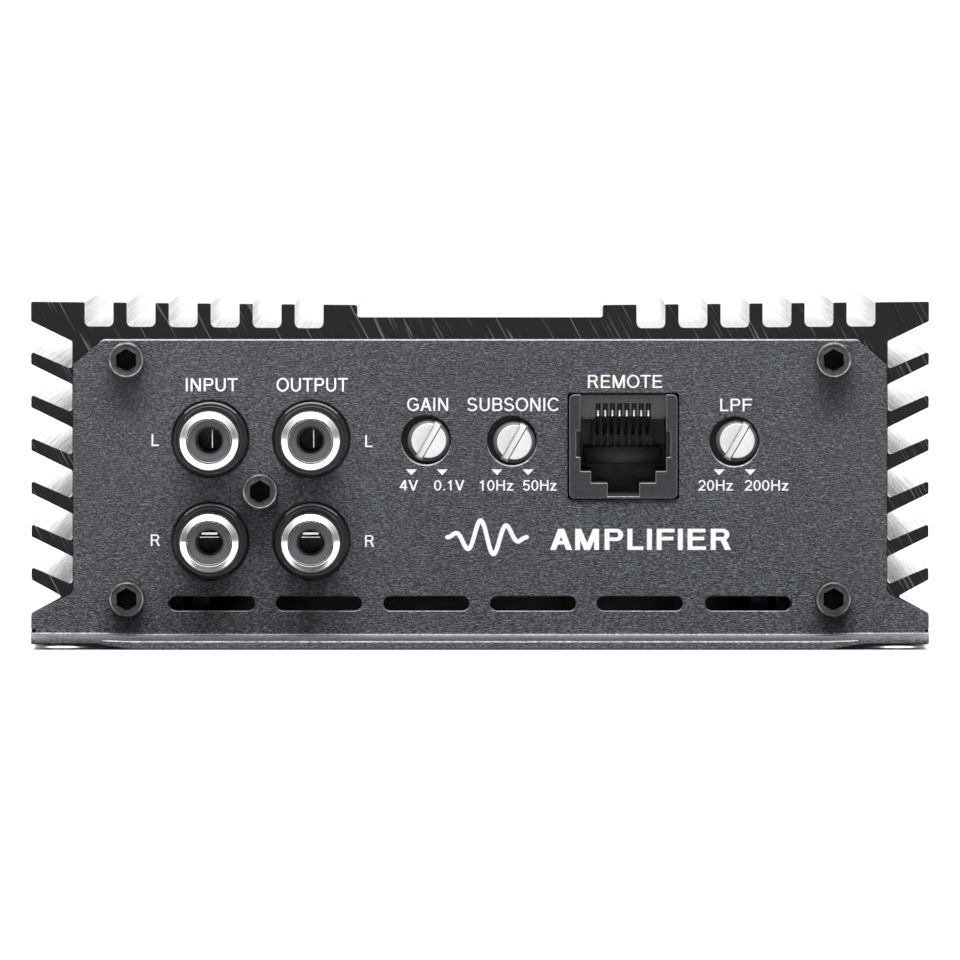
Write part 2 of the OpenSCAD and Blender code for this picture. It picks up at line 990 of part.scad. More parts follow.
module output_inductor_winding() {
    color(copper)
        ring_winding(inductor_at, inductor_size, inductor_wire, 20, 320);
}

module input_choke_core() {
    color(iron_yellow)
        ring_core(choke_at, choke_size);
}

module input_choke_winding() {
    color(copper)
        ring_winding(choke_at, choke_size, choke_wire, 30, 300);
}

capacitor_at = [
    [-30, -52], [-11, -52], [8, -52], [27, -52], [-30, 22], [-10, 22], [10, 22], [30, 22]
];
capacitor_r = 8;
capacitor_h = 25;
capacitor_lift = 1.2;
capacitor_groove = [3, 0.5, 0.6]; // height, depth and half width of the crimp

module capacitor_cans() {
    bottom_edge = 0.4;
    top_edge = 0.6;
    vent = [0.6, 0.5];
    groove_z = capacitor_groove[0];
    groove_w = capacitor_groove[2];
    color(sleeve_blue)
        for (p = capacitor_at)
            translate([p[0], p[1], board_top + capacitor_lift])
                difference() {
                    rotate_extrude()
                        polygon([
                            [0, 0],
                            [capacitor_r - bottom_edge, 0],
                            [capacitor_r, bottom_edge],
                            [capacitor_r, groove_z],
                            [capacitor_r - capacitor_groove[1], groove_z + groove_w],
                            [capacitor_r, groove_z + 2 * groove_w],
                            [capacitor_r, capacitor_h - top_edge],
                            [capacitor_r - top_edge, capacitor_h],
                            [0, capacitor_h]
                        ]);
                    for (turn = [0, 90])
                        translate([0, 0, capacitor_h])
                            rotate([0, 0, turn])
                                cube([capacitor_r, vent[0], vent[1]], center = true);
                }
}

module capacitor_seals() {
    seal_r = capacitor_r - 1;
    color(black_plastic)
        for (p = capacitor_at)
            translate([p[0], p[1], board_top + fit_gap])
                cylinder(r = seal_r, h = capacitor_lift - 2 * fit_gap);
}

transistor_y = [-42, -18, 17, 28, 52];
transistor_w = 10.2;
transistor_t = 4.5;
transistor_h = 15.5;
transistor_z = 15;
pad_t = 0.3;
pad_edge = 0.3;
transistor_face_x = cavity_half_w - pad_t - 2 * fit_gap;
tab_h = 6;
tab_t = 1.3;
tab_hole_r = 1.8;
tab_hole_drop = 2.8;
lead_pitch = 2.54;
lead_w = 0.8;
lead_t = 0.5;
lead_clear = 1; // height of the legs above the rail they pass over

// A row of power transistors standing against the right-hand wall
module transistor_row() {
    for (y = transistor_y)
        difference() {
            union() {
                box([transistor_face_x - transistor_t, y - transistor_w / 2, transistor_z],
                    [transistor_face_x, y + transistor_w / 2,
                     transistor_z + transistor_h - tab_h]);
                box([transistor_face_x - tab_t, y - transistor_w / 2, transistor_z],
                    [transistor_face_x, y + transistor_w / 2, transistor_z + transistor_h]);
            }
            translate([transistor_face_x - tab_t - cut, y,
                       transistor_z + transistor_h - tab_hole_drop])
                rotate([0, 90, 0])
                    cylinder(r = tab_hole_r, h = tab_t + 2 * cut);
        }
}

// Their legs, bent over the rail and down to the board
module transistor_leads() {
    lead_x = transistor_face_x - transistor_t / 2;
    foot_x = board_half_w - 3 * lead_t;
    low_z = rail_low_z + lead_clear;
    for (y = transistor_y, k = [-1:1])
        translate([0, y + k * lead_pitch - lead_w / 2, 0]) {
            box([lead_x - lead_t / 2, 0, low_z],
                [lead_x + lead_t / 2, lead_w, transistor_z - fit_gap]);
            box([foot_x, 0, low_z], [lead_x + lead_t / 2, lead_w, low_z + lead_t]);
            box([foot_x, 0, board_top + fit_gap], [foot_x + lead_t, lead_w, low_z + lead_t]);
        }
}

module supply_transistors() {
    color(black_plastic)
        mirror([1, 0, 0])
            transistor_row();
}

module supply_transistor_leads() {
    color(steel)
        mirror([1, 0, 0])
            transistor_leads();
}

module output_transistors() {
    color(black_plastic)
        transistor_row();
}

module output_transistor_leads() {
    color(steel)
        transistor_leads();
}

module thermal_pads() {
    color(pad_grey)
        both_sides()
            for (y = transistor_y)
                box([cavity_half_w - pad_t - fit_gap, y - transistor_w / 2 - pad_edge,
                     transistor_z - pad_edge],
                    [cavity_half_w - fit_gap, y + transistor_w / 2 + pad_edge,
                     transistor_z + transistor_h - tab_h - pad_edge]);
}

clamp_w = 2.5;
clamp_over = [6, 3.5]; // beyond the end transistors, and above the screws
clamp_back_x = transistor_face_x - transistor_t - fit_gap;
clamp_head = [2.8, 2];

// Flat bar that presses the transistors against the wall
module clamp_bar() {
    last = len(transistor_y) - 1;
    difference() {
        box([clamp_back_x - clamp_w, transistor_y[0] - clamp_over[0], transistor_z + 1],
            [clamp_back_x, transistor_y[last] + clamp_over[0], clamp_screw_z + clamp_over[1]]);
        for (y = clamp_screw_y)
            translate([clamp_back_x - clamp_w - cut, y, clamp_screw_z])
                rotate([0, 90, 0])
                    cylinder(r = clear_r, h = clamp_w + 2 * cut);
    }
}

module left_clamp_bar() {
    color(steel)
        mirror([1, 0, 0])
            clamp_bar();
}

module right_clamp_bar() {
    color(steel)
        clamp_bar();
}

module clamp_screws() {
    seat_x = clamp_back_x - clamp_w - fit_gap;
    shank_l = cavity_half_w + clamp_bore_l - 0.4 - seat_x;
    color(steel)
        both_sides()
            for (y = clamp_screw_y)
                translate([seat_x, y, clamp_screw_z])
                    rotate([0, -90, 0])
                        pan_screw(screw_r, clamp_head[0], clamp_head[1], shank_l);
}

// Small integrated circuits on both boards
module control_chips() {
    small = [9, 6, 1.9];
    large = [10, 6, 2.2];
    color(black_plastic) {
        for (x = [-8, 8, 24])
            translate([x, 18 - half_l, control_top + fit_gap])
                cube(small);
        for (y = [64, 76])
            translate([-8, y, board_top + fit_gap])
                cube(large);
    }
}

// ---------- rear connectors ----------

// A plastic housing with a space for each metal block and its cable and screw openings
module terminal_housing(x, z, ports, port_r, screws_r) {
    difference() {
        box([x[0], half_l - terminal_in, z[0]], [x[1], face_y + terminal_out, z[1]]);
        for (i = [0:len(ports) - 1]) {
            rod(ports[i], (z[0] + z[1]) / 2, port_r[i] + port_flare, face_y,
                terminal_out + cut);
            box([ports[i] - port_r[i] - block_side, half_l - terminal_in - cut,
                 z[0] + terminal_wall],
                [ports[i] + port_r[i] + block_side, face_y + terminal_out - terminal_wall,
                 z[1] - terminal_wall]);
            translate([ports[i], face_y + terminal_out / 2, z[1] - terminal_wall - cut])
                cylinder(r = screws_r[i] + port_flare, h = terminal_wall + 2 * cut);
        }
    }
}

// The metal blocks that take the bare cable ends
module terminal_blocks(z, ports, port_r, screws_r) {
    gap = block_gap_in;
    for (i = [0:len(ports) - 1])
        difference() {
            box([ports[i] - port_r[i] - block_side + gap, half_l - terminal_in + block_in,
                 z[0] + terminal_wall + gap],
                [ports[i] + port_r[i] + block_side - gap, face_y + terminal_out - terminal_wall - gap,
                 z[1] - terminal_wall - gap]);
            rod(ports[i], (z[0] + z[1]) / 2, port_r[i], face_y - port_in,
                terminal_out + port_in + cut);
            translate([ports[i], face_y + terminal_out / 2, (z[0] + z[1]) / 2])
                cylinder(r = screws_r[i] + gap, h = z[1]);
        }
}

// Slotted set screws in the top of the blocks, backed off so that the ports are clear
module terminal_screws(z, ports, port_r, screws_r) {
    for (i = [0:len(ports) - 1])
        translate([ports[i], face_y + terminal_out / 2, 0])
            difference() {
                translate([0, 0, (z[0] + z[1]) / 2 + port_r[i] + set_screw_lift])
                    cylinder(r = screws_r[i], h = (z[1] - z[0]) / 2 - port_r[i] - port_flare
                             - set_screw_lift);
                box([-screws_r[i] - cut, -terminal_slot[0] / 2, z[1] - terminal_slot[1]],
                    [screws_r[i] + cut, terminal_slot[0] / 2, z[1]]);
            }
}

speaker_ports_r = [for (p = speaker_ports) speaker_port_r];
speaker_screws_r = [for (p = speaker_ports) speaker_screw_r];

module power_terminal_housing() {
    color(black_plastic)
        terminal_housing(power_x, power_z, power_ports, power_port_r, power_screw_r);
}

module power_terminal_blocks() {
    color(gold)
        terminal_blocks(power_z, power_ports, power_port_r, power_screw_r);
}

module power_terminal_screws() {
    color(steel)
        terminal_screws(power_z, power_ports, power_port_r, power_screw_r);
}

module speaker_terminal_housing() {
    color(black_plastic)
        terminal_housing(speaker_x, speaker_z, speaker_ports, speaker_ports_r,
                         speaker_screws_r);
}

module speaker_terminal_blocks() {
    color(gold)
        terminal_blocks(speaker_z, speaker_ports, speaker_ports_r, speaker_screws_r);
}

module speaker_terminal_screws() {
    color(steel)
        terminal_screws(speaker_z, speaker_ports, speaker_ports_r, speaker_screws_r);
}

// Block behind the rear panel with two upright blade fuse sockets
module fuse_holder() {
    clip_x = blade_t / 2 + clip_t + 0.15;
    color(black_plastic)
        difference() {
            box([fuse_holder_x[0], half_l - terminal_in, fuse_holder_z[0]],
                [fuse_holder_x[1], face_y + fuse_holder_out, fuse_holder_z[1]]);
            for (x = fuse_x) {
                box([x - fuse_t / 2 - fuse_gap, face_y + fuse_holder_out - fuse_sunk,
                     fuse_z - fuse_h / 2 - fuse_gap],
                    [x + fuse_t / 2 + fuse_gap, face_y + fuse_holder_out + cut,
                     fuse_z + fuse_h / 2 + fuse_gap]);
                for (side = [-1, 1])
                    translate([x, 0, fuse_z + side * blade_gap / 2])
                        box([-clip_x, half_l - terminal_in - cut, -blade_w / 2 - fuse_gap],
                            [clip_x, face_y + cut, blade_w / 2 + fuse_gap]);
            }
        }
}

module fuse_bodies() {
    seat_y = fuse_seat_y;
    waist = fuse_waist;
    color(fuse_green)
        for (x = fuse_x)
            difference() {
                union() {
                    box([x - fuse_t / 2, seat_y + fuse_body_l - fuse_cap_l, fuse_z - fuse_h / 2],
                        [x + fuse_t / 2, seat_y + fuse_body_l, fuse_z + fuse_h / 2]);
                    box([x - fuse_t / 2 + waist[0], seat_y, fuse_z - fuse_h / 2 + waist[1]],
                        [x + fuse_t / 2 - waist[0], seat_y + fuse_body_l - cut,
                         fuse_z + fuse_h / 2 - waist[1]]);
                }
                for (side = [-1, 1])
                    translate([x, 0, fuse_z + side * blade_gap / 2])
                        box([-blade_t / 2 - fit_gap, seat_y - cut, -blade_w / 2 - fit_gap],
                            [blade_t / 2 + fit_gap, seat_y + blade_seat_l + fuse_gap,
                             blade_w / 2 + fit_gap]);
            }
}

module fuse_blades() {
    color(steel)
        for (x = fuse_x, side = [-1, 1])
            translate([x, 0, fuse_z + side * blade_gap / 2])
                box([-blade_t / 2, fuse_seat_y - blade_l, -blade_w / 2],
                    [blade_t / 2, fuse_seat_y + blade_seat_l, blade_w / 2]);
}

// Spring leaves on each side of every blade
module fuse_clips() {
    color(gold)
        for (x = fuse_x, side = [-1, 1], hand = [0, 1])
            translate([x, 0, fuse_z + side * blade_gap / 2])
                mirror([hand, 0, 0])
                    box([blade_t / 2 + fit_gap, half_l - terminal_in + block_in, -blade_w / 2],
                        [blade_t / 2 + fit_gap + clip_t, face_y - fuse_gap, blade_w / 2]);
}

module status_lamps() {
    stem_l = lamp_stem_l + panel_t;
    color(lens_green)
        for (x = lamp_x)
            translate([x, half_l - lamp_stem_l, lamp_z])
                rotate([-90, 0, 0])
                    rotate_extrude()
                        polygon([
                            [0, 0],
                            [lamp_r + lamp_rim, 0],
                            [lamp_r + lamp_rim, lamp_flange_t],
                            [lamp_r, lamp_flange_t],
                            [lamp_r, stem_l],
                            [lamp_r - lamp_rim, stem_l + lamp_rim],
                            [0, stem_l + lamp_rim]
                        ]);
}

// ---------- assembly ----------

heatsink();
front_panel();
rear_panel();
bottom_plate();
insulating_sheet();
front_panel_screws();
jack_block_screw();
rear_panel_screws();
bottom_plate_screws();
rca_housing();
input_left_shell();
input_right_shell();
output_left_shell();
output_right_shell();
rca_insulators();
rca_center_contacts();
gain_pot_body();
gain_pot_shaft();
subsonic_pot_body();
subsonic_pot_shaft();
lowpass_pot_body();
lowpass_pot_shaft();
pot_terminals();
remote_jack_housing();
remote_jack_contacts();
main_board();
control_board();
board_header();
board_standoffs();
board_screws();
transformer_core();
transformer_windings();
output_inductor_core();
output_inductor_winding();
input_choke_core();
input_choke_winding();
capacitor_cans();
capacitor_seals();
supply_transistors();
supply_transistor_leads();
output_transistors();
output_transistor_leads();
thermal_pads();
left_clamp_bar();
right_clamp_bar();
clamp_screws();
control_chips();
power_terminal_housing();
power_terminal_blocks();
power_terminal_screws();
speaker_terminal_housing();
speaker_terminal_blocks();
speaker_terminal_screws();
fuse_holder();
fuse_bodies();
fuse_blades();
fuse_clips();
status_lamps();
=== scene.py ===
import json
import random
from math import acos, ceil, copysign, cos, hypot, pi, radians, sin, tan

import bmesh
import bpy
from mathutils import Matrix, Vector, geometry


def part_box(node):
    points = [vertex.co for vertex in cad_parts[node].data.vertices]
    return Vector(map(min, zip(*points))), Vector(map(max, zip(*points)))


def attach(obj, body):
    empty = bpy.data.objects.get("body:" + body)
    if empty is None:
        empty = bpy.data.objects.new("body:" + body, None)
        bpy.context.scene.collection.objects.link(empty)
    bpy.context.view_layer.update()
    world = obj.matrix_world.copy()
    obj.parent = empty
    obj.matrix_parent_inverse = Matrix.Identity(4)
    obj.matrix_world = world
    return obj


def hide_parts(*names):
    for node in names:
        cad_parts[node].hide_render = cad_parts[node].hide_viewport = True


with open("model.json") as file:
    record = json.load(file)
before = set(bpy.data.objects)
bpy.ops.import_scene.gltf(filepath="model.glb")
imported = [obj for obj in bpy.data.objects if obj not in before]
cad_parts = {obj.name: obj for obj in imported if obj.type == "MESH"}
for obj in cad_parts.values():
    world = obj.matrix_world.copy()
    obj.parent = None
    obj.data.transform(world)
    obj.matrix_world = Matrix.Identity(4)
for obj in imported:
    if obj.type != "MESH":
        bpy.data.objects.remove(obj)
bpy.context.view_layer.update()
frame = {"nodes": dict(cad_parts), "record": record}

MM = 0.001
BODY = "chassis"

# ---- dimensions, in mm
HALF_W, HALF_L, BODY_H = (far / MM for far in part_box("heatsink")[1])
PANEL_T = 1.2
FACE_Y = HALF_L + PANEL_T
FLANGE_L = 14.0
FLANGE_Y = FACE_Y + FLANGE_L
THROUGH = (-FACE_Y - 0.6, -HALF_L + 0.6)     # the length of a cutter through the front sheet
HALF_TURN = Matrix.Rotation(pi, 4, "Z")

# the extrusion: side fins and their grooves, top slots, flat band, and the space inside
FOOT_H, FOOT_IN_X, FOOT_IN_Z = 4.3, 59.1, 6.65
SIDE_FINS, SIDE_PITCH = 6, 6.1
FIN_UNDER, FIN_TOP, FIN_ROOT, NEXT_ROOT, CROWN_UNDER = 39.53, 41.34, 38.8, 42.8, 45.6
ROOT_X = 57.66
TOP_SLOTS, SLOT_W, SLOT_PITCH, SLOT_OUT = 6, 4.07, 5.94, 55.9
SLOT_Z, SLOT_SAG = 44.97, 0.37
SLOT_R, SLOT_EDGE_R = 0.75, 0.16
BAND_X, BAND_Z, TOP_SAG = 17.35, 46.2, 0.46
RAIL_X, CAVITY_X = 45.2, 53.4
CAVITY_Z, RAIL_HIGH, RAIL_LOW, PLATE_Z = 41.2, 36.0, 11.2, 1.5

# the bent sheets
PANEL_HALF_W = 57.5
PANEL_H = 43.1
EAR_LIFT, EAR_THIN = 0.20, 0.60              # the lift is 0.65 in the CAD source
EAR_HALF_W = 62.9
EAR_X, EAR_Y, EAR_HOLE_R = 58.85, FACE_Y + FLANGE_L / 2, 2.25
LIP_R, BEND_R = 0.28, 0.25
JOGGLE_IN, JOGGLE_OUT = 48.1, 54.2
LIFT_TOP, LIFT_FADE = 4.6, 2.0               # height at which the ears' lift ends, after fading out
WING_H, WING_IN = 4.1, 63.0
CLEAR_X, CLEAR_Z, CORNER_X = 66.0, 46.0, 53.1    # outside the blank, and where a top corner's cut starts
VENT_X = (-37.9, -22.8, -7.6, 7.5, 22.6, 37.9)
VENT_L, VENT_H, VENT_Z = 12.1, 2.05, 5.7
FACES_UP = 0.2                               # upward part of a normal, from which a face looks up
EDGE_DEPTH = 0.4                             # how far behind the front face an edge is painted

# what is on the panel
SCREWS = [(s * 49.9, z) for s in (-1, 1) for z in (6.45, 40.25)]
SCREW_HOLE_R = 1.7
HEAD_H, HEAD_R, SHANK_L, SHANK_R = 3.0, 2.55, 10.0, 1.5
SOCKET_R, SOCKET_FLOOR = 1.6, 1.5
JACK_SCREW = (-31.05, 21.7)
RCA_X = (-38.1, -23.84)
RCA_Z = (29.0, 14.6)
RCA_HOLE_R = 5.52
SHELL_OUT, SHELL_L = 8.0, 14.0
POT_HOLES = ((-7.6, 28.87), (4.52, 28.76), (35.96, 28.66))
POT_SHIFTS = ((0.36, -0.12), (0.34, -0.24), (0.40, 0.06))
POT_HOLE_R = 3.5
SLOT_ANGLE = 60.0
REMOTE, REMOTE_W, REMOTE_H = (20.25, 27.95), 15.7, 15.0
CONTACT_PITCH = 1.016
LAMP_X, LAMP_Z, LAMP_HOLE_R = (-2.5, 7.5), 37.5, 1.65


# ---- node helpers
def new_material(name):
    mat = bpy.data.materials.new(name)
    mat.use_nodes = True
    tree = mat.node_tree
    bsdf = tree.nodes["Principled BSDF"]
    coord = tree.nodes.new("ShaderNodeTexCoord")
    return mat, tree, bsdf, coord.outputs["Object"]


def mapping(tree, vector, scale=(1, 1, 1), rotation=(0, 0, 0)):
    node = tree.nodes.new("ShaderNodeMapping")
    node.inputs["Scale"].default_value = scale
    node.inputs["Rotation"].default_value = rotation
    tree.links.new(vector, node.inputs["Vector"])
    return node.outputs["Vector"]


def noise(tree, vector, scale, detail=3.0, rough=0.55, distortion=0.0):
    node = tree.nodes.new("ShaderNodeTexNoise")
    node.inputs["Scale"].default_value = scale
    node.inputs["Detail"].default_value = detail
    node.inputs["Roughness"].default_value = rough
    node.inputs["Distortion"].default_value = distortion
    tree.links.new(vector, node.inputs["Vector"])
    return node.outputs["Fac"]


def ramp(tree, fac, stops):
    node = tree.nodes.new("ShaderNodeValToRGB")
    els = node.color_ramp.elements
    while len(els) < len(stops):
        els.new(0.5)
    for el, (pos, col) in zip(els, stops):
        el.position = pos
        el.color = (*col, 1.0)
    tree.links.new(fac, node.inputs["Fac"])
    return node.outputs["Color"]


def spread(tree, fac, low, high, from_low=0.3, from_high=0.7):
    node = tree.nodes.new("ShaderNodeMapRange")
    node.inputs["From Min"].default_value = from_low
    node.inputs["From Max"].default_value = from_high
    node.inputs["To Min"].default_value = low
    node.inputs["To Max"].default_value = high
    tree.links.new(fac, node.inputs["Value"])
    return node.outputs["Result"]


def feed(tree, socket, value):
    """Sets a socket to a number or a colour, or links another socket to it."""
    if isinstance(value, float):
        socket.default_value = value
    elif isinstance(value, tuple):
        socket.default_value = (*value, 1.0)
    else:
        tree.links.new(value, socket)


def feed_all(tree, bsdf, values):
    for name, value in values.items():
        feed(tree, bsdf.inputs[name], value)


def mix_colour(tree, fac, a, b, blend="MIX"):
    node = tree.nodes.new("ShaderNodeMix")
    node.data_type = "RGBA"
    node.blend_type = blend
    for socket, value in ((node.inputs["Factor"], fac), (node.inputs[6], a), (node.inputs[7], b)):
        feed(tree, socket, value)
    return node.outputs[2]


def fade(tree, vector, axis, start, end, both_ways=True):
    """0 below start and 1 above end, in mm along one axis, or both ways from its zero."""
    split = tree.nodes.new("ShaderNodeSeparateXYZ")
    tree.links.new(vector, split.inputs[0])
    where = split.outputs[axis]
    if both_ways:
        where = combine(tree, "ABSOLUTE", where)
    return spread(tree, where, 0.0, 1.0, start * MM, end * MM)


def flipped(tree, value):
    return combine(tree, "SUBTRACT", 1.0, value)


def combine(tree, operation, *values):
    """One step of arithmetic on sockets or plain numbers."""
    node = tree.nodes.new("ShaderNodeMath")
    node.operation = operation
    for socket, value in zip(node.inputs, values):
        feed(tree, socket, value)
    return node.outputs[0]


def add(tree, a, b, weight=1.0):
    """a + b * weight"""
    return combine(tree, "MULTIPLY_ADD", b, weight, a)


def bump(tree, bsdf, height, strength, distance):
    node = tree.nodes.new("ShaderNodeBump")
    node.inputs["Strength"].default_value = strength
    node.inputs["Distance"].default_value = distance
    tree.links.new(height, node.inputs["Height"])
    tree.links.new(node.outputs["Normal"], bsdf.inputs["Normal"])


def shades(colour, low, high):
    return tuple(c * low for c in colour), tuple(c * high for c in colour)


def plain_material(name, colour, rough, metallic, tone, tone_scale, grain, grain_scale,
                   grain_depth=0.00005, specular=0.5, coat=0.0, wear=None, wear_scale=3000.0):
    """A moulded, plated or painted surface: tone and roughness that wander, a fine bump, and perhaps
    light specks of wear."""
    mat, tree, bsdf, obj = new_material(name)
    dark, light = shades(colour, *tone)
    colours = ramp(tree, noise(tree, obj, tone_scale, 4.0), [(0.3, dark), (0.7, light)])
    if wear:
        specks = spread(tree, noise(tree, obj, wear_scale, 6.0, 0.7), 0.0, 1.0, 0.66, 0.74)
        colours = mix_colour(tree, specks, colours, wear)
    gloss = spread(tree, noise(tree, obj, 900.0, 3.0), rough * 0.85, rough * 1.2)
    feed_all(tree, bsdf, {"Base Color": colours, "Roughness": gloss, "Metallic": metallic,
                          "Specular IOR Level": specular})
    if coat:
        feed_all(tree, bsdf, {"Coat Weight": coat, "Coat Roughness": 0.08})
    bump(tree, bsdf, noise(tree, obj, grain_scale, 4.0, 0.6), grain, grain_depth)
    return mat


# mm out from the panel over which the painted highlight along the bend fades, and over which all of the
# flange's painted highlight fades out
HIGHLIGHT_STRIP, HIGHLIGHT_END = (4.0, 8.0), (9.5, 11.5)


def powder_coat():
    """Fine wrinkle powder coat: slanting ridges about 0.2 mm apart over a charcoal tone that wanders a
    little, painted lighter on the ridges and darker in the folds as highlight and shade.
    """
    mat, tree, bsdf, obj = new_material("charcoal_powder_coat")
    slanted = mapping(tree, obj, (0.80, 1.0, 1.90), (0.0, 0.60, 0.0))
    swell = noise(tree, slanted, 1700.0, 2.0, 0.5, 1.2)
    folds = noise(tree, slanted, 3100.0, 2.0, 0.5, 0.9)
    pores = noise(tree, obj, 6000.0, 2.0, 0.5)
    cloud = noise(tree, obj, 55.0, 3.0)
    height = add(tree, add(tree, folds, swell, 0.7), pores, 0.25)
    # painted light and shade: the tone follows the fine folds that make the bump, lighter on their ridges and
    # darker in their hollows
    tone = ramp(tree, folds, [(0.37, (0.005, 0.0062, 0.0088)), (0.50, (0.036, 0.0405, 0.052)),
                              (0.62, (0.140, 0.152, 0.184))])
    # painted highlight: the flange's top is lighter along the bend and on the raised ears
    by_bend = flipped(tree, fade(tree, obj, "Y", *(FACE_Y + d for d in HIGHLIGHT_STRIP)))
    flange_highlight = combine(tree, "MAXIMUM", by_bend, fade(tree, obj, "X", JOGGLE_IN, JOGGLE_OUT))
    ear_top = PANEL_T + EAR_LIFT
    below = flipped(tree, fade(tree, obj, "Z", ear_top, ear_top + BEND_R))
    above = fade(tree, obj, "Z", PANEL_T - 0.25, PANEL_T - 0.05)
    within = flipped(tree, fade(tree, obj, "Y", *(FACE_Y + d for d in HIGHLIGHT_END)))
    for mask in (below, above, within):
        flange_highlight = combine(tree, "MULTIPLY", flange_highlight, mask)
    highlight_tone = ramp(tree, folds, [(0.36, (0.05, 0.052, 0.058)), (0.64, (0.27, 0.275, 0.29))])
    tone = mix_colour(tree, flange_highlight, tone, highlight_tone)
    soft = spread(tree, cloud, 0.93, 1.07)
    feed_all(tree, bsdf, {"Base Color": mix_colour(tree, 1.0, tone, soft, "MULTIPLY"),
                          "Roughness": spread(tree, pores, 0.30, 0.46), "Specular IOR Level": 0.55})
    bump(tree, bsdf, height, 1.0, 0.0006)
    return mat


SAW_ANGLE = 28.0


def sawn_ends():
    """The black anodised ends of the extrusion, with slanting saw marks."""
    mat, tree, bsdf, obj = new_material("black_anodised_ends")
    turned = mapping(tree, obj, (1, 1, 1), (0.0, radians(SAW_ANGLE), 0.0))
    fine = noise(tree, mapping(tree, turned, (3400.0, 200.0, 75.0)), 1.0, 2.0, 0.5)
    broad = noise(tree, mapping(tree, turned, (900.0, 60.0, 60.0)), 1.0, 3.0)
    base = ramp(tree, broad, [(0.3, (0.0060, 0.0071, 0.0076)), (0.7, (0.0095, 0.0106, 0.0112))])
    marks = spread(tree, fine, 0.0, 1.0, 0.61, 0.73)
    feed_all(tree, bsdf, {"Base Color": mix_colour(tree, marks, base, (0.19, 0.20, 0.205)),
                          "Roughness": spread(tree, fine, 0.40, 0.55), "Specular IOR Level": 0.12})
    bump(tree, bsdf, fine, 0.3, 0.00005)
    return mat


LINES_FADE = (22.0, 60.0)      # mm from the front end over which the die lines fade out


def anodised(name, streak=1.0):
    """Black anodised sides of the extrusion, with fine die lines along the length. They reflect the sky at
    flat angles, and streak says how much the lines and the painted shade at the grooves' roots dull that."""
    mat, tree, bsdf, obj = new_material(name)
    fine = noise(tree, mapping(tree, obj, (3600.0, 9.0, 3600.0)), 1.0, 5.0, 0.62)
    broad = noise(tree, mapping(tree, obj, (420.0, 4.0, 420.0)), 1.0, 3.0)
    base = ramp(tree, broad, [(0.3, (0.016, 0.017, 0.018)), (0.7, (0.030, 0.032, 0.034))])
    gloss = spread(tree, add(tree, fine, broad, 0.7), 0.10, 0.10 + 0.08 * streak, 0.70, 1.10)
    edge = 1.0 - 0.34 * streak
    deep = fade(tree, obj, "Y", *(d - HALF_L for d in LINES_FADE), both_ways=False)
    # painted shade: only the side grooves reflect less towards their roots, where the fins above shade them
    tips = fade(tree, obj, "X", ROOT_X, HALF_W - 0.5)
    inside = flipped(tree, fade(tree, obj, "X", ROOT_X - 1.2, ROOT_X - 0.8))
    groove = combine(tree, "MAXIMUM", tips, inside)
    groove_shading = spread(tree, groove, 1.0 - 0.65 * streak, 1.0, 0.0, 1.0)
    tint = mix_colour(tree, deep, (edge, edge, edge), (1.0, 1.0, 1.0))
    lines = spread(tree, fine, 1.0 - 0.40 * streak, 1.0 - 0.62 * streak, 0.42, 0.64)
    weight = mix_colour(tree, deep, lines, (1.0, 1.0, 1.0))
    feed_all(tree, bsdf, {"Base Color": base, "Roughness": gloss, "Metallic": 1.0,
                          "Specular Tint": mix_colour(tree, 1.0, tint, groove_shading, "MULTIPLY"),
                          "Coat Weight": mix_colour(tree, 1.0, weight, groove_shading, "MULTIPLY"),
                          "Coat Roughness": 0.05, "Coat IOR": 1.9})
    bump(tree, bsdf, fine, 0.04 * streak, 0.00002)
    return mat


def turned_metal(name, colour, rough):
    """Plated metal with faint rings round the Y axis, smudges and micro scratches."""
    mat, tree, bsdf, obj = new_material(name)
    rings = noise(tree, mapping(tree, obj, (120.0, 5200.0, 120.0)), 1.0, 3.0)
    smudge = noise(tree, obj, 260.0, 4.0, 0.6)
    scratch = noise(tree, mapping(tree, obj, (700.0, 700.0, 5200.0), (0.3, 0.6, 0.2)), 1.0, 4.0, 0.7)
    dark, light = shades(colour, 0.86, 1.04)
    gloss = spread(tree, add(tree, smudge, scratch, 0.5), rough * 0.7, rough * 1.7, 0.5, 1.0)
    feed_all(tree, bsdf, {"Base Color": ramp(tree, smudge, [(0.3, dark), (0.7, light)]),
                          "Roughness": gloss, "Metallic": 1.0})
    bump(tree, bsdf, add(tree, rings, scratch, 0.5), 0.12, 0.00002)
    return mat


def winding_material():
    """Enamelled copper with a tone that wanders from turn to turn."""
    mat, tree, bsdf, obj = new_material("enamelled_copper")
    shade = noise(tree, obj, 700.0, 3.0)
    copper = ramp(tree, shade, [(0.3, (0.42, 0.15, 0.05)), (0.7, (0.66, 0.27, 0.10))])
    feed_all(tree, bsdf, {"Base Color": copper, "Roughness": spread(tree, shade, 0.18, 0.34),
                          "Metallic": 0.9})
    bump(tree, bsdf, noise(tree, obj, 2600.0, 3.0), 0.2, 0.00006)
    return mat


def board_material():
    """Green solder mask over copper, whose traces show as a lighter blocky pattern."""
    mat, tree, bsdf, obj = new_material("circuit_board")
    bricks = tree.nodes.new("ShaderNodeTexBrick")
    feed_all(tree, bricks, {"Scale": 110.0, "Color1": (0.012, 0.070, 0.030), "Color2": (0.020, 0.110, 0.048),
                            "Mortar": (0.008, 0.045, 0.020), "Mortar Size": 0.012, "Vector": obj})
    cloud = noise(tree, obj, 160.0, 4.0)
    green = mix_colour(tree, cloud, bricks.outputs["Color"], (0.015, 0.085, 0.036))
    feed_all(tree, bsdf, {"Base Color": green, "Roughness": spread(tree, cloud, 0.25, 0.45)})
    bump(tree, bsdf, bricks.outputs["Fac"], 0.3, 0.00004)
    return mat


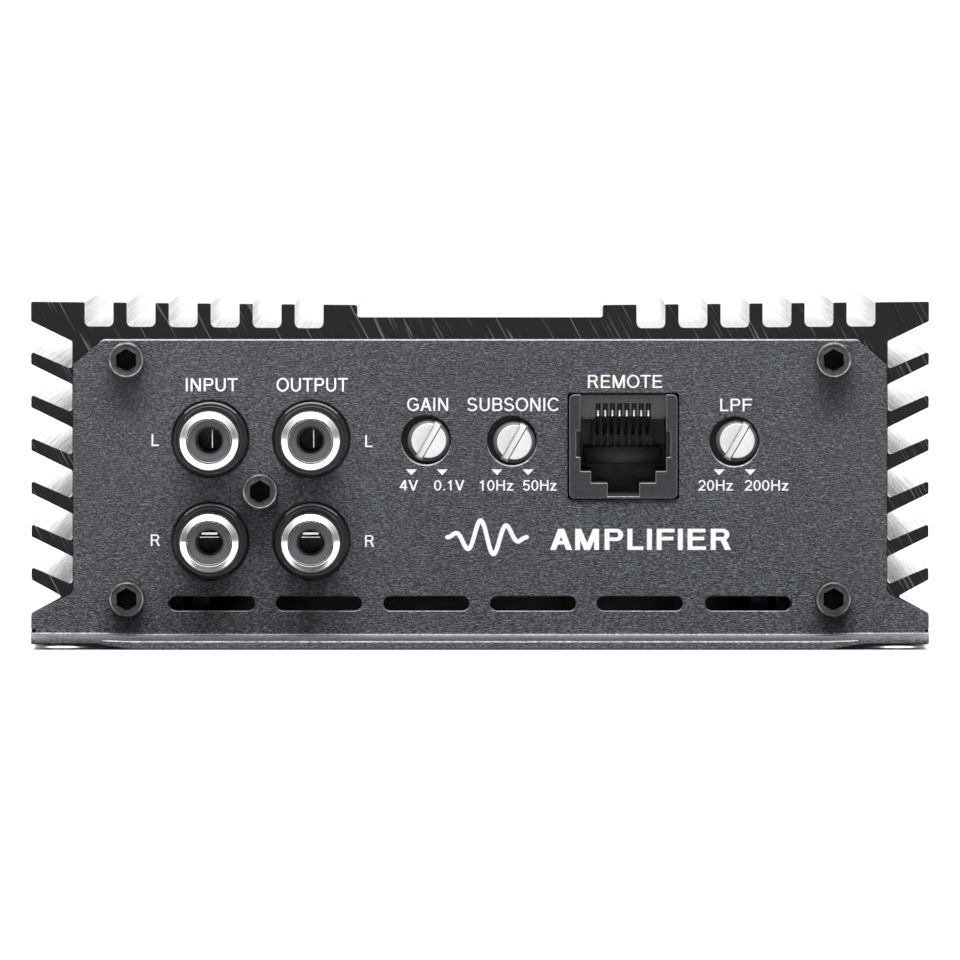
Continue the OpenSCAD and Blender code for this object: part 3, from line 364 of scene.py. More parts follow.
# colour, roughness, metallic, darkest and lightest tone, scale of the tone, strength and scale of the
# grain, and plain_material()'s other settings
FINISHES = {
    "black_screw": ((0.050, 0.047, 0.048), 0.34, 1.0, (0.6, 1.3), 900.0, 0.3, 4000.0,
                    {"wear": (0.30, 0.29, 0.28), "wear_scale": 2200.0}),
    # painted highlight: a lighter rim round the top of each screw head
    "screw_rim_highlight": ((0.24, 0.23, 0.23), 0.30, 0.9, (0.45, 1.3), 1400.0, 0.4, 3600.0, {}),
    # painted shade: near black for the screws' sockets and the shells' fine grooves
    "socket_shade_black": ((0.002, 0.002, 0.0025), 0.7, 0.0, (0.7, 1.4), 1500.0, 0.2, 2500.0, {"specular": 0.08}),
    # painted highlight: a lighter coat on the panel's faces that look up into the light
    "edge_highlight_soft": ((0.24, 0.245, 0.26), 0.40, 0.2, (0.30, 1.7), 2300.0, 0.7, 2600.0,
                    {"grain_depth": 0.0002}),
    # painted highlight: a lighter coat for the thin lines along the sheet's top edge and the control holes'
    # lower lips
    "edge_highlight_bright": ((0.31, 0.315, 0.33), 0.36, 0.1, (0.65, 1.25), 1900.0, 0.4, 2600.0,
                    {"grain_depth": 0.0001}),
    # painted highlight: a light grey for the remote jack's front edges that look up
    "moulding_highlight": ((0.30, 0.31, 0.32), 0.32, 0.0, (0.5, 1.35), 1600.0, 0.3, 3600.0, {}),
    # painted shade and highlight: dark and light copies of the contacts' metal
    "spring_shade": ((0.030, 0.028, 0.025), 0.45, 0.7, (0.7, 1.3), 1800.0, 0.2, 4200.0, {}),
    "spring_highlight": ((0.80, 0.78, 0.72), 0.26, 0.6, (0.8, 1.08), 2400.0, 0.2, 4200.0, {}),
    # painted light: grey stands for shade on the white shafts' chamfers and for highlight on the rounded
    # edges of the black collars and the remote jack
    "grey_painted_light": ((0.115, 0.118, 0.120), 0.45, 0.0, (0.75, 1.25), 1500.0, 0.25, 4200.0, {}),
    "black_plastic": ((0.007, 0.0074, 0.0082), 0.36, 0.0, (0.8, 1.2), 500.0, 0.2, 5200.0,
                      {"specular": 0.32}),
    "grey_insulator": ((0.062, 0.064, 0.070), 0.42, 0.0, (0.85, 1.15), 900.0, 0.15, 5200.0, {}),
    "pot_plastic": ((0.005, 0.0053, 0.006), 0.55, 0.0, (0.8, 1.2), 600.0, 0.2, 4200.0, {"specular": 0.2}),
    "white_shaft": ((0.72, 0.73, 0.73), 0.42, 0.0, (0.92, 1.06), 1500.0, 0.25, 4200.0,
                    {"grain_depth": 0.00004}),
    "white_ink": ((0.86, 0.87, 0.87), 0.45, 0.0, (0.95, 1.03), 2600.0, 0.25, 5200.0,
                  {"grain_depth": 0.00002}),
    # painted shade: darker plastic inside the remote jack, jack_shade just behind the front and the next one
    # deeper in
    "jack_shade": ((0.015, 0.0165, 0.018), 0.40, 0.0, (0.7, 1.35), 1300.0, 0.3, 3600.0, {}),
    "jack_deep_shade": ((0.008, 0.0085, 0.009), 0.45, 0.0, (0.8, 1.25), 900.0, 0.2, 4200.0, {"specular": 0.3}),
    "jack_plastic": ((0.018, 0.020, 0.023), 0.34, 0.0, (0.72, 1.35), 1300.0, 0.4, 3600.0,
                     {"grain_depth": 0.0001, "specular": 0.3}),
    "insulating_film": ((0.62, 0.55, 0.34), 0.40, 0.0, (0.92, 1.06), 90.0, 0.1, 2500.0, {}),
    "ferrite": ((0.045, 0.085, 0.055), 0.35, 0.0, (0.85, 1.15), 300.0, 0.2, 2500.0, {}),
    "iron_powder": ((0.62, 0.48, 0.05), 0.42, 0.0, (0.85, 1.1), 400.0, 0.25, 2500.0, {}),
    "can_sleeve": ((0.012, 0.018, 0.055), 0.22, 0.0, (0.85, 1.2), 200.0, 0.08, 2500.0, {"coat": 0.4}),
    "rubber": ((0.015, 0.015, 0.015), 0.75, 0.0, (0.8, 1.3), 700.0, 0.3, 2500.0, {}),
    "thermal_pad": ((0.42, 0.43, 0.45), 0.7, 0.0, (0.9, 1.1), 900.0, 0.3, 2500.0, {}),
    "fuse_plastic": ((0.02, 0.30, 0.07), 0.16, 0.0, (0.85, 1.15), 250.0, 0.06, 2500.0, {"coat": 0.5}),
    "lamp_lens": ((0.45, 0.62, 0.52), 0.14, 0.0, (0.9, 1.1), 500.0, 0.05, 2500.0, {"coat": 0.5}),
}
MATS = {
    "charcoal_powder_coat": powder_coat(),
    "black_anodised": anodised("black_anodised"),
    "black_anodised_tops": anodised("black_anodised_tops", streak=0.05),
    "black_anodised_ends": sawn_ends(),
    "nickel": turned_metal("nickel", (0.84, 0.84, 0.83), 0.16),
    "contact_metal": turned_metal("contact_metal", (0.80, 0.62, 0.32), 0.22),
    "steel": turned_metal("steel", (0.60, 0.61, 0.63), 0.30),
    "enamelled_copper": winding_material(),
    "circuit_board": board_material(),
}
for finish_name, (*values, settings) in FINISHES.items():
    MATS[finish_name] = plain_material(finish_name, *values, **settings)


# ---- mesh helpers
def put(name, data):
    """A new object in the scene."""
    obj = bpy.data.objects.new(name, data)
    bpy.context.scene.collection.objects.link(obj)
    return obj


def link(name, mesh, slot, *replaces, body=BODY):
    """Puts a finished piece in the scene, in its slot's material if it isn't painted yet."""
    obj = put(name, mesh)
    if not mesh.materials:
        mesh.materials.append(MATS[slot])
    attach(obj, body)
    if replaces:
        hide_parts(*replaces)


def mesh_from(verts, faces):
    """A mesh from points in mm."""
    mesh = bpy.data.meshes.new("shape")
    mesh.from_pydata([(x * MM, y * MM, z * MM) for x, y, z in verts], [], faces)
    mesh.validate()
    return mesh


def tidy(mesh, sharp=35.0, weld=0.0):
    """Outward normals, smooth shading, and hard edges where faces meet at more than the given angle."""
    bm = bmesh.new()
    bm.from_mesh(mesh)
    if weld:
        bmesh.ops.remove_doubles(bm, verts=bm.verts, dist=weld * MM)
    bmesh.ops.recalc_face_normals(bm, faces=bm.faces)
    if bm.calc_volume(signed=True) < 0:
        bmesh.ops.reverse_faces(bm, faces=bm.faces)
    limit = radians(sharp)
    for f in bm.faces:
        f.smooth = True
    for e in bm.edges:
        e.smooth = len(e.link_faces) == 2 and e.calc_face_angle(0.0) < limit
    bm.to_mesh(mesh)
    bm.free()
    return mesh


def joined(meshes):
    """One mesh from several, which may have different materials."""
    bm = bmesh.new()
    mats = []
    for m in meshes:
        start = len(bm.faces)
        bm.from_mesh(m)
        bm.faces.ensure_lookup_table()
        table = []
        for mat in m.materials:
            if mat not in mats:
                mats.append(mat)
            table.append(mats.index(mat))
        for f in bm.faces[start:]:
            if table:
                f.material_index = table[min(f.material_index, len(table) - 1)]
    out = bpy.data.meshes.new("shape")
    bm.to_mesh(out)
    bm.free()
    for mat in mats:
        out.materials.append(mat)
    return out


def moved(mesh, matrix):
    """A transformed copy of a mesh."""
    out = mesh.copy()
    out.transform(matrix)
    if matrix.determinant() < 0:
        out.flip_normals()
    return out


def at(x, y, z):
    return Matrix.Translation((x * MM, y * MM, z * MM))


def through_modifiers(mesh, *setups):
    """Applies modifiers, each given as (type, {setting: value}), and returns the new mesh."""
    obj = put("scratch", mesh)
    for kind, settings in setups:
        mod = obj.modifiers.new(kind, kind)
        for key, value in settings.items():
            setattr(mod, key, value)
    bpy.context.view_layer.update()
    out = bpy.data.meshes.new_from_object(obj.evaluated_get(bpy.context.evaluated_depsgraph_get()))
    bpy.data.objects.remove(obj)
    return out


def even_shading(mesh):
    """Keeps large flat faces flat, so that only the narrow rounded edges catch the light."""
    settings = {"mode": "FACE_AREA", "weight": 50, "keep_sharp": True}
    return through_modifiers(mesh, ("WEIGHTED_NORMAL", settings))


def paint(mesh, base, *rules):
    """Gives each face the material of the first rule (material, test) whose test accepts the face's
    centre in mm and its normal, or else base."""
    mesh.materials.clear()
    for name in (base, *(rule[0] for rule in rules)):
        mesh.materials.append(MATS[name])
    for p in mesh.polygons:
        centre = p.center / MM
        hits = [i + 1 for i, (_, test) in enumerate(rules) if test(centre, p.normal)]
        p.material_index = hits[0] if hits else 0
    return mesh


def painted(mesh, material):
    """The mesh in one material."""
    return paint(mesh, material)


def cut(mesh, tool):
    """The mesh less what the tool takes away."""
    cutter = put("cutter", tool)
    out = through_modifiers(mesh, ("BOOLEAN", {"object": cutter, "solver": "EXACT"}))
    bpy.data.objects.remove(cutter)
    return out


def bevelled(mesh, width, segments=2, angle=32.0):
    return through_modifiers(mesh, ("BEVEL", {
        "width": width * MM, "segments": segments, "limit_method": "ANGLE",
        "angle_limit": radians(angle), "harden_normals": False, "use_clamp_overlap": False}))


def crisp(mesh, width, segments, angle):
    """Narrow rounded edges round faces that stay flat."""
    return even_shading(tidy(bevelled(mesh, width, segments, angle)))


def filleted(points, segments):
    """(x, z, radius) corners to a closed outline with round corners."""
    out = []
    count = len(points)
    for i, (x, z, r) in enumerate(points):
        p = Vector((x, z))
        a = Vector(points[i - 1][:2]) - p
        b = Vector(points[(i + 1) % count][:2]) - p
        a_len, b_len = a.length, b.length
        a.normalize()
        b.normalize()
        half = acos(a.dot(b)) / 2
        reach = min(r / tan(half), a_len * 0.48, b_len * 0.48)
        r = reach * tan(half)
        centre = p + (a + b).normalized() * (r / sin(half))
        start, end = p + a * reach - centre, p + b * reach - centre
        turn = start.angle_signed(end)
        for k in range(segments + 1):
            t = -turn * k / segments
            out.append((centre.x + start.x * cos(t) - start.y * sin(t),
                        centre.y + start.x * sin(t) + start.y * cos(t)))
    return out


def ring_quads(rings, n):
    """The faces that join rings of n points each, one ring to the next."""
    return [[i * n + k, i * n + (k + 1) % n, (i + 1) * n + (k + 1) % n, (i + 1) * n + k]
            for i in range(rings - 1) for k in range(n)]


def closed_tube(verts, n):
    """A solid through rings of n points each, capped at both ends."""
    caps = [list(range(n)), list(range(len(verts) - 1, len(verts) - n - 1, -1))]
    return mesh_from(verts, ring_quads(len(verts) // n, n) + caps)


def prism(outline, y0, y1):
    """An XZ outline pulled along Y."""
    return tidy(closed_tube([(x, y, z) for y in (y0, y1) for x, z in outline], len(outline)))


def circle(x, z, r, count=64, start=0.0):
    angles = [start + 2 * pi * i / count for i in range(count)]
    return [(x + r * cos(a), z + r * sin(a)) for a in angles]


def bar(x0, z0, x1, z1):
    """The outline of an upright rectangle."""
    return [(x0, z0), (x1, z0), (x1, z1), (x0, z1)]


def rod(x, z, r, y0, y1, count=64):
    return prism(circle(x, z, r, count), y0, y1)


def block(x0, x1, y0, y1, z0, z1):
    return prism(bar(x0, z0, x1, z1), y0, y1)


def rounded_rect(cx, cz, w, h, r, segments=8):
    return filleted([(cx - w / 2, cz - h / 2, r), (cx + w / 2, cz - h / 2, r),
                     (cx + w / 2, cz + h / 2, r), (cx - w / 2, cz + h / 2, r)], segments)


def lathe(profile, x=0.0, z=0.0, count=96, closed=False, ribs=None, sharp=35.0):
    """A (y, r) profile turned round a line along Y. ribs is (first, last, depth) of the profile points
    that carry fine ribs."""
    verts, faces = [], []
    n = len(profile)
    for i in range(count):
        t = 2 * pi * i / count
        for k, (y, r) in enumerate(profile):
            if ribs and ribs[0] <= k <= ribs[1] and i % 2:
                r -= ribs[2]
            verts.append((x + r * cos(t), y, z + r * sin(t)))
    last = n if closed else n - 1
    for i in range(count):
        j = (i + 1) % count
        for k in range(last):
            m = (k + 1) % n
            faces.append([i * n + k, j * n + k, j * n + m, i * n + m])
    return tidy(mesh_from(verts, faces), sharp, weld=0.0005)


# ---- heatsink
def top_at(x):
    return BODY_H - TOP_SAG * (HALF_W - x) / (HALF_W - BAND_X)


def floor_at(x):
    return SLOT_Z - SLOT_SAG * (HALF_W - x) / (HALF_W - BAND_X)


def heatsink_half():
    """The right half of the extrusion's outline as (x, z, corner radius): from the foot up the side
    fins, then over the top slots to the flat band in the middle."""
    out = [(HALF_W, 0.0, 0.25), (HALF_W, FOOT_H, 0.3), (FOOT_IN_X, FOOT_IN_Z, 0.25)]
    for i in reversed(range(SIDE_FINS)):
        drop = SIDE_PITCH * i
        out += [(HALF_W, FIN_UNDER - drop, 0.3), (HALF_W, FIN_TOP - drop, 0.3),
                (ROOT_X, FIN_ROOT - drop, 0.4), (ROOT_X, NEXT_ROOT - drop, 0.3)]
    out += [(HALF_W, CROWN_UNDER, 0.25), (HALF_W, BODY_H, 0.25)]
    for i in range(TOP_SLOTS):
        x1 = SLOT_OUT - i * SLOT_PITCH
        x0 = x1 - SLOT_W
        z = floor_at((x0 + x1) / 2)
        out += [(x1, top_at(x1), SLOT_EDGE_R), (x1, z, SLOT_R), (x0, z, SLOT_R),
                (x0, top_at(x0), SLOT_EDGE_R)]
    out += [(BAND_X, top_at(BAND_X), 0.3), (BAND_X, BAND_Z, 0.35)]
    return out


CAVITY_HALF = [(RAIL_X, CAVITY_Z, 0.6), (RAIL_X, RAIL_HIGH, 0.3), (CAVITY_X, RAIL_HIGH, 0.4),
               (CAVITY_X, RAIL_LOW, 0.4), (RAIL_X, RAIL_LOW, 0.3), (RAIL_X, PLATE_Z, 0.2),
               (CAVITY_X, PLATE_Z, 0.2), (CAVITY_X, 0.0, 0.2)]


def mirrored(half):
    return [(-x, z, r) for x, z, r in reversed(half)]


def build_heatsink():
    right = heatsink_half()
    outline = filleted(right + mirrored(right) + mirrored(CAVITY_HALF) + CAVITY_HALF, 4)
    mesh = crisp(prism(outline, -HALF_L, HALF_L), 0.13, 2, 60.0)
    paint(mesh, "black_anodised", ("black_anodised_ends", lambda c, n: abs(n.y) > 0.9),
          ("black_anodised_tops", lambda c, n: n.z > 0.5 and c.z > BAND_Z - 0.2))
    link("heatsink_case", mesh, "black_anodised", "heatsink")


# ---- bent end panels
def joggle(x):
    """How far the flange is lifted at x: flat in the middle, a smooth step, then the raised ear."""
    t = (abs(x) - JOGGLE_IN) / (JOGGLE_OUT - JOGGLE_IN)
    t = max(0.0, min(1.0, t))
    return EAR_LIFT * t * t * (3 - 2 * t)


def bent_sheet():
    """The folded sheet without its openings, at the front end."""
    bend_in, bend_out = BEND_R, BEND_R + PANEL_T
    step = [JOGGLE_IN + (JOGGLE_OUT - JOGGLE_IN) * k / 10 for k in range(11)]
    columns = [0, 12, 24, 36, 44, *step, 56, 58, 60, 62, HALF_W]
    xs = sorted({round(s * x, 4) for s in (-1, 1) for x in columns})
    # inner: the sheet's front face, then the flange's top; outer: its back, then the underside
    inner, outer = [], []
    for z in (PANEL_H, 30.0, 18.0, 9.0, 5.0, 3.2):
        inner.append((-FACE_Y, z))
        outer.append((-HALF_L, z))
    steps = 7
    for k in range(steps + 1):
        a = radians(90.0 * k / steps)
        for side, r in ((inner, bend_in), (outer, bend_out)):
            side.append((-FACE_Y - bend_in + r * cos(a), bend_out - r * sin(a)))
    lip_y = -FLANGE_Y + LIP_R
    for k in range(1, 5):
        y = -FACE_Y - bend_in + (lip_y + FACE_Y + bend_in) * k / 4
        inner.append((y, PANEL_T))
        outer.append((y, 0.0))
    for a in (22.5, 45.0, 67.5, 90.0):
        reach = LIP_R * sin(radians(a))
        drop = LIP_R * (1 - cos(radians(a)))
        inner.append((lip_y - reach, PANEL_T - drop))
        outer.append((lip_y - reach, drop))
    loop = inner + outer[::-1]
    n = len(loop)
    verts = []
    for x in xs:
        lift = joggle(x)
        for y, z in loop:
            weight = max(0.0, min(1.0, (LIFT_TOP - z) / LIFT_FADE))
            under = max(0.0, 1.0 - z / (PANEL_T / 2)) if y < -FACE_Y else 0.0
            side = min(abs(x), EAR_HALF_W) if y < -FACE_Y - 0.7 else abs(x)
            verts.append((copysign(side, x), y, z + lift * (weight + under * EAR_THIN / EAR_LIFT)))
    faces = ring_quads(len(xs), n)
    end = (len(xs) - 1) * n
    half = n // 2
    for base in (0, end):
        for k in range(half - 1):
            faces.append([base + k, base + k + 1, base + n - 2 - k, base + n - 1 - k])
    return tidy(mesh_from(verts, faces))


def corner_cutters():
    """What is cut from the blank: the top corners and the sides above the wings, the thin notch in
    each wing, and the ears' holes."""
    out = []
    for s in (-1, 1):
        trim = [(PANEL_HALF_W, 7.9), (57.62, 7.35), (58.1, 6.9), (WING_IN, 4.45), (63.6, WING_H),
                (CLEAR_X, WING_H), (CLEAR_X, CLEAR_Z), (CORNER_X, CLEAR_Z), (CORNER_X, PANEL_H),
                (53.35, 43.04), (57.42, 39.55), (PANEL_HALF_W, 39.3)]
        notch = bar(WING_IN, 1.66, CLEAR_X, 2.05)
        out += [prism([(s * x, z) for x, z in shape], *THROUGH) for shape in (trim, notch)]
        upright = at(s * EAR_X, -EAR_Y, 0) @ Matrix.Rotation(-pi / 2, 4, "X")
        out.append(moved(rod(0, 0, EAR_HOLE_R, -4.0, 1.0, 48), upright))
    return out


def vent_cutters():
    return [prism(rounded_rect(x, VENT_Z, VENT_L, VENT_H, VENT_H / 2, 12), *THROUGH) for x in VENT_X]


def hole(x, z, r):
    return rod(x, z, r, *THROUGH, 96)


def window(cx, cz, w, h, r):
    return prism(rounded_rect(cx, cz, w, h, r, 6), *THROUGH)


def panel_mesh(openings):
    tools = corner_cutters() + vent_cutters() + [hole(x, z, SCREW_HOLE_R) for x, z in SCREWS]
    mesh = crisp(cut(bent_sheet(), joined(tools + openings)), 0.2, 3, 40.0)
    return paint(mesh, "charcoal_powder_coat", ("edge_highlight_bright", catches_light),
                 ("edge_highlight_soft", gets_soft_highlight))


def catches_light(c, n):
    """The edges painted light as thin lines of highlight: the sheet's top edge and the lower lips of the
    control holes."""
    if n.z < FACES_UP or n.y > 0.3:
        return False
    lip_r = POT_HOLE_R + 0.25
    on_lip = any(hypot(c.x - x, c.z - z) < lip_r and c.z < z for x, z in POT_HOLES)
    return c.z > PANEL_H - 0.3 or (c.y < -FACE_Y + EDGE_DEPTH and on_lip)


def gets_soft_highlight(c, n):
    """Faces painted lighter as highlight because they look up: the vents' lower lips, the inside of the bend
    and the front edge of the flange.
    """
    if n.z < FACES_UP:
        return False
    if c.z > VENT_Z - 2.3:
        in_vent = abs(c.z - VENT_Z) < VENT_H and abs(c.x) < VENT_X[-1] + VENT_L / 2 + 2.0
        return in_vent and c.y < -FACE_Y + EDGE_DEPTH and n.z > 0.5
    bend = c.y > -FACE_Y - BEND_R and c.z < PANEL_T + BEND_R + EAR_LIFT
    front = c.y < -FLANGE_Y + LIP_R and n.z > 0.5 and abs(c.x) < JOGGLE_OUT - 1.0
    return bend or front


def build_panels():
    front = [hole(x, z, RCA_HOLE_R) for x in RCA_X for z in RCA_Z]
    front += [hole(x, z, POT_HOLE_R) for x, z in POT_HOLES]
    front += [hole(*JACK_SCREW, SCREW_HOLE_R), window(*REMOTE, REMOTE_W, REMOTE_H, 0.35)]
    link("front_panel_sheet", panel_mesh(front), "charcoal_powder_coat", "front_panel")
    back = []
    for node in ("power_terminal_housing", "speaker_terminal_housing", "fuse_holder"):
        lo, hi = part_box(node)
        back.append(window(-(lo.x + hi.x) / 2 / MM, (lo.z + hi.z) / 2 / MM,
                           (hi.x - lo.x) / MM + 0.4, (hi.z - lo.z) / MM + 0.4, 0.4))
    back += [hole(-x, LAMP_Z, LAMP_HOLE_R) for x in LAMP_X]
    link("rear_panel_sheet", moved(panel_mesh(back), HALF_TURN), "charcoal_powder_coat", "rear_panel")


# ---- screws
def cap_screw_mesh():
    """Socket head cap screw, head towards -Y, with a ribbed side, a rounded edge and a hexagon socket."""
    profile = [(-HEAD_H, 0.0), (-HEAD_H, 1.75), (-HEAD_H, 2.22), (-2.95, 2.37), (-2.80, 2.48),
               (-2.55, HEAD_R), (-0.35, HEAD_R), (-0.15, 2.46), (0.0, 2.38), (0.0, SHANK_R),
               (SHANK_L - 0.6, SHANK_R), (SHANK_L, 1.0), (SHANK_L, 0.0)]
    head = lathe(profile, count=72, ribs=(5, 6, 0.07), sharp=30.0)
    hexagon = prism(circle(0, 0, SOCKET_R, 6, pi / 2), -4.0, -SOCKET_FLOOR)
    drill = lathe([(-1.6, 0.0), (-1.6, 1.2), (-1.05, 0.0)], count=24)
    out = crisp(cut(cut(head, hexagon), drill), 0.06, 2, 50.0)

    # painted shade: the socket is near black
    def in_socket(c, n):
        return hypot(c.x, c.z) < 1.52 and -2.95 < c.y < -0.5

    # painted highlight: the rim of the head is lighter
    def on_lit_rim(c, n):
        return hypot(c.x, c.z) > 2.24 and -2.99 < c.y < -2.5

    return paint(out, "black_screw", ("socket_shade_black", in_socket), ("screw_rim_highlight", on_lit_rim))


def build_cap_screws():
    one = cap_screw_mesh()
    front = []
    for x, z in SCREWS:
        turn = Matrix.Rotation(radians(random.uniform(-4, 4)), 4, "Y")
        front.append(moved(one, at(x, -FACE_Y, z) @ turn))
    link("front_cap_screws", joined(front), "black_screw", "front_panel_screws")
    jack_one = moved(one, at(JACK_SCREW[0], -FACE_Y, JACK_SCREW[1]))
    link("jack_block_cap_screw", jack_one, "black_screw", "jack_block_screw")
    rear = [moved(one, HALF_TURN @ at(x, -FACE_Y, z)) for x, z in SCREWS]
    link("rear_cap_screws", joined(rear), "black_screw", "rear_panel_screws")


# ---- phono jacks
def collar_mesh(x, z):
    """The raised plastic ring round a jack's hole, with one fine groove. Its faces that slope up at the front
    are painted grey as a highlight.
    """
    front, back = -FACE_Y - 0.5, -HALF_L + 0.6
    profile = [(front + 0.18, 4.09), (front, 4.25), (front, 4.62), (front + 0.12, 4.7), (front + 0.12, 4.8),
               (front, 4.88), (front, 5.02), (front + 0.22, 5.24), (back, 5.25), (back, 4.09)]
    return paint(lathe(profile, x, z, closed=True), "black_plastic",
                 ("grey_painted_light", lambda c, n: n.z > 0.5 and -0.95 < n.y < -0.1))


def shell_mesh(x, z, mouth):
    """A plated shell with a chamfered mouth, a fine groove inside it painted near black as shade, and a seat
    for the ring.
    """
    profile = [(-FACE_Y - 0.55, 4.05), (-FACE_Y - 0.6, 4.15)]
    profile += [(mouth + y, r) for y, r in (
        (0.85, 4.16), (0.58, 4.15), (0.46, 4.09), (0.39, 3.98), (0.10, 3.42), (0.03, 3.34), (0.0, 3.28),
        (0.05, 3.23), (0.55, 3.22), (0.55, 3.09), (0.22, 3.07), (0.28, 3.00), (0.62, 2.88), (0.80, 2.90),
        (0.84, 3.13), (SHELL_L, 3.13), (SHELL_L, 4.05))]

    def in_groove(c, n):
        return mouth + 0.06 < c.y < mouth + 0.6 and 3.06 < hypot(c.x - x, c.z - z) < 3.24

    return paint(lathe(profile, x, z, 128, closed=True, sharp=40.0), "nickel", ("socket_shade_black", in_groove))


def insulator_mesh(x, z, back):
    """The grey ring inside a shell."""
    profile = [(back + y, r) for y, r in (
        (0.1, 3.11), (0.0, 3.0), (0.0, 2.14), (0.05, 2.10), (0.05, 2.04), (0.0, 2.0), (0.10, 1.92),
        (0.45, 1.86), (SHELL_L, 1.86), (SHELL_L, 3.11))]
    return lathe(profile, x, z, 96, closed=True)


def build_jacks():
    mouth = -FACE_Y - SHELL_OUT
    back = mouth + 0.9
    collars, insulators, contacts = [], [], []
    for group, x in zip(("input", "output"), RCA_X):
        for side, z in zip(("left", "right"), RCA_Z):
            collars.append(collar_mesh(x, z))
            node = group + "_" + side + "_shell"
            link(node + "_plated", shell_mesh(x, z, mouth), "nickel", node)
            insulators.append(insulator_mesh(x, z, back))
            contacts.append(contact_mesh(x, z, back, side == "right"))
    link("rca_collars", rca_block(collars), "black_plastic", "rca_housing")
    link("rca_insulator_rings", joined(insulators), "grey_insulator", "rca_insulators")
    link("rca_center_springs", joined(contacts), "contact_metal", "rca_center_contacts")


def rca_block(collars):
    """The moulded block behind the panel, joined with its four collars."""
    lo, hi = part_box("rca_housing")
    lo, hi = lo / MM, hi / MM
    body = block(lo.x, hi.x, -HALF_L + 0.05, hi.y, lo.z, hi.z)
    tools = [rod(x, z, 4.1, -FACE_Y - 2, hi.y + 2, 48) for x in RCA_X for z in RCA_Z]
    tools.append(rod(*JACK_SCREW, 1.55, -HALF_L - 1, -HALF_L + 11, 32))
    body = cut(body, joined(tools))
    return joined([tidy(bevelled(body, 0.3, 2, 40.0), 30.0)] + collars)


def contact_mesh(x, z, back, leaf):
    """The split spring sleeve that grips a plug's centre pin. With leaf, as in the lower row, its strip lies
    across the top. The sleeve is painted dark as shade, and the strip, with a shelf above it in the lower
    row, light as a painted highlight."""
    turn = radians(0.0 if leaf else 90.0)
    verts, faces = [], []
    r_out, r_in, count = 1.84, 1.62, 40
    start, end = radians(20.0) + turn, radians(340.0) + turn
    y0, y1 = back + 3.2, back + 15.0
    ring = [start + (end - start) * i / count for i in range(count + 1)]
    for y in (y0, y1):
        for r in (r_out, r_in):
            verts += [(x + r * cos(a), y, z + r * sin(a)) for a in ring]
    n = count + 1
    for i in range(count):
        faces += [[i, i + 1, n + i + 1, n + i], [2 * n + i, 3 * n + i, 3 * n + i + 1, 2 * n + i + 1],
                  [i, 2 * n + i, 2 * n + i + 1, i + 1], [n + i, n + i + 1, 3 * n + i + 1, 3 * n + i]]
    faces += [[0, n, 3 * n, 2 * n], [n - 1, 3 * n - 1, 4 * n - 1, 2 * n - 1]]
    sleeve = painted(tidy(mesh_from(verts, faces)), "spring_shade")
    floor = painted(rod(x, z, 1.6, back + 9.0, back + 9.6, 32), "spring_shade")
    if leaf:
        strip = block(x - 1.36, x + 1.36, back + 0.75, back + 6.0, z + 0.74, z + 0.90)
        shelf = block(x - 1.1, x + 1.1, back + 1.4, back + 7.0, z + 1.15, z + 1.45)
        pieces = [painted(shelf, "spring_highlight")]
    else:
        strip = block(x + 0.36, x + 0.52, back + 0.75, back + 6.0, z - 1.0, z + 1.55)
        pieces = []
    strip = painted(tidy(bevelled(strip, 0.04, 1)), "spring_highlight")
    return joined([sleeve, floor, strip] + pieces)


# ---- controls
def build_controls():
    for name, (hx, hz), (dx, dz) in zip(("gain", "subsonic", "lowpass"), POT_HOLES, POT_SHIFTS):
        x, z = hx + dx, hz + dz
        front = -FACE_Y + 0.15
        profile = [(front + y, r) for y, r in (
            (0.0, 0.0), (0.0, 2.38), (0.05, 2.45), (0.5, 2.93), (0.6, 3.0), (6.0, 3.0), (6.2, 2.85),
            (6.2, 0.0))]
        shaft = lathe(profile, x, z, 96)
        turn = at(x, 0, z) @ Matrix.Rotation(radians(-SLOT_ANGLE), 4, "Y")
        half_slot = 0.52
        slot = moved(block(-4.0, 4.0, front - 1.0, front + 0.22, -half_slot, half_slot), turn)
        crack = moved(block(-2.75, 2.75, front - 1.0, front + 1.2, -0.56, -0.40), turn)
        shaft = tidy(bevelled(cut(cut(shaft, slot), crack), 0.05, 2, 40.0), 30.0)
        angle = radians(SLOT_ANGLE)
        across = Vector((-sin(angle), cos(angle)))

        # painted shade: the chamfer ring and the slot's ends are grey, shaded by the hole's wall
        def in_hole_shade(c, n):
            out = Vector((c.x - x, c.z - z))
            return out.length > 2.44 and (abs(out.dot(across)) > half_slot or n.y > -0.5)

        paint(shaft, "white_shaft", ("grey_painted_light", in_hole_shade))
        link(name + "_shaft_slotted", shaft, "white_shaft", name + "_pot_shaft", body=name + "_control")


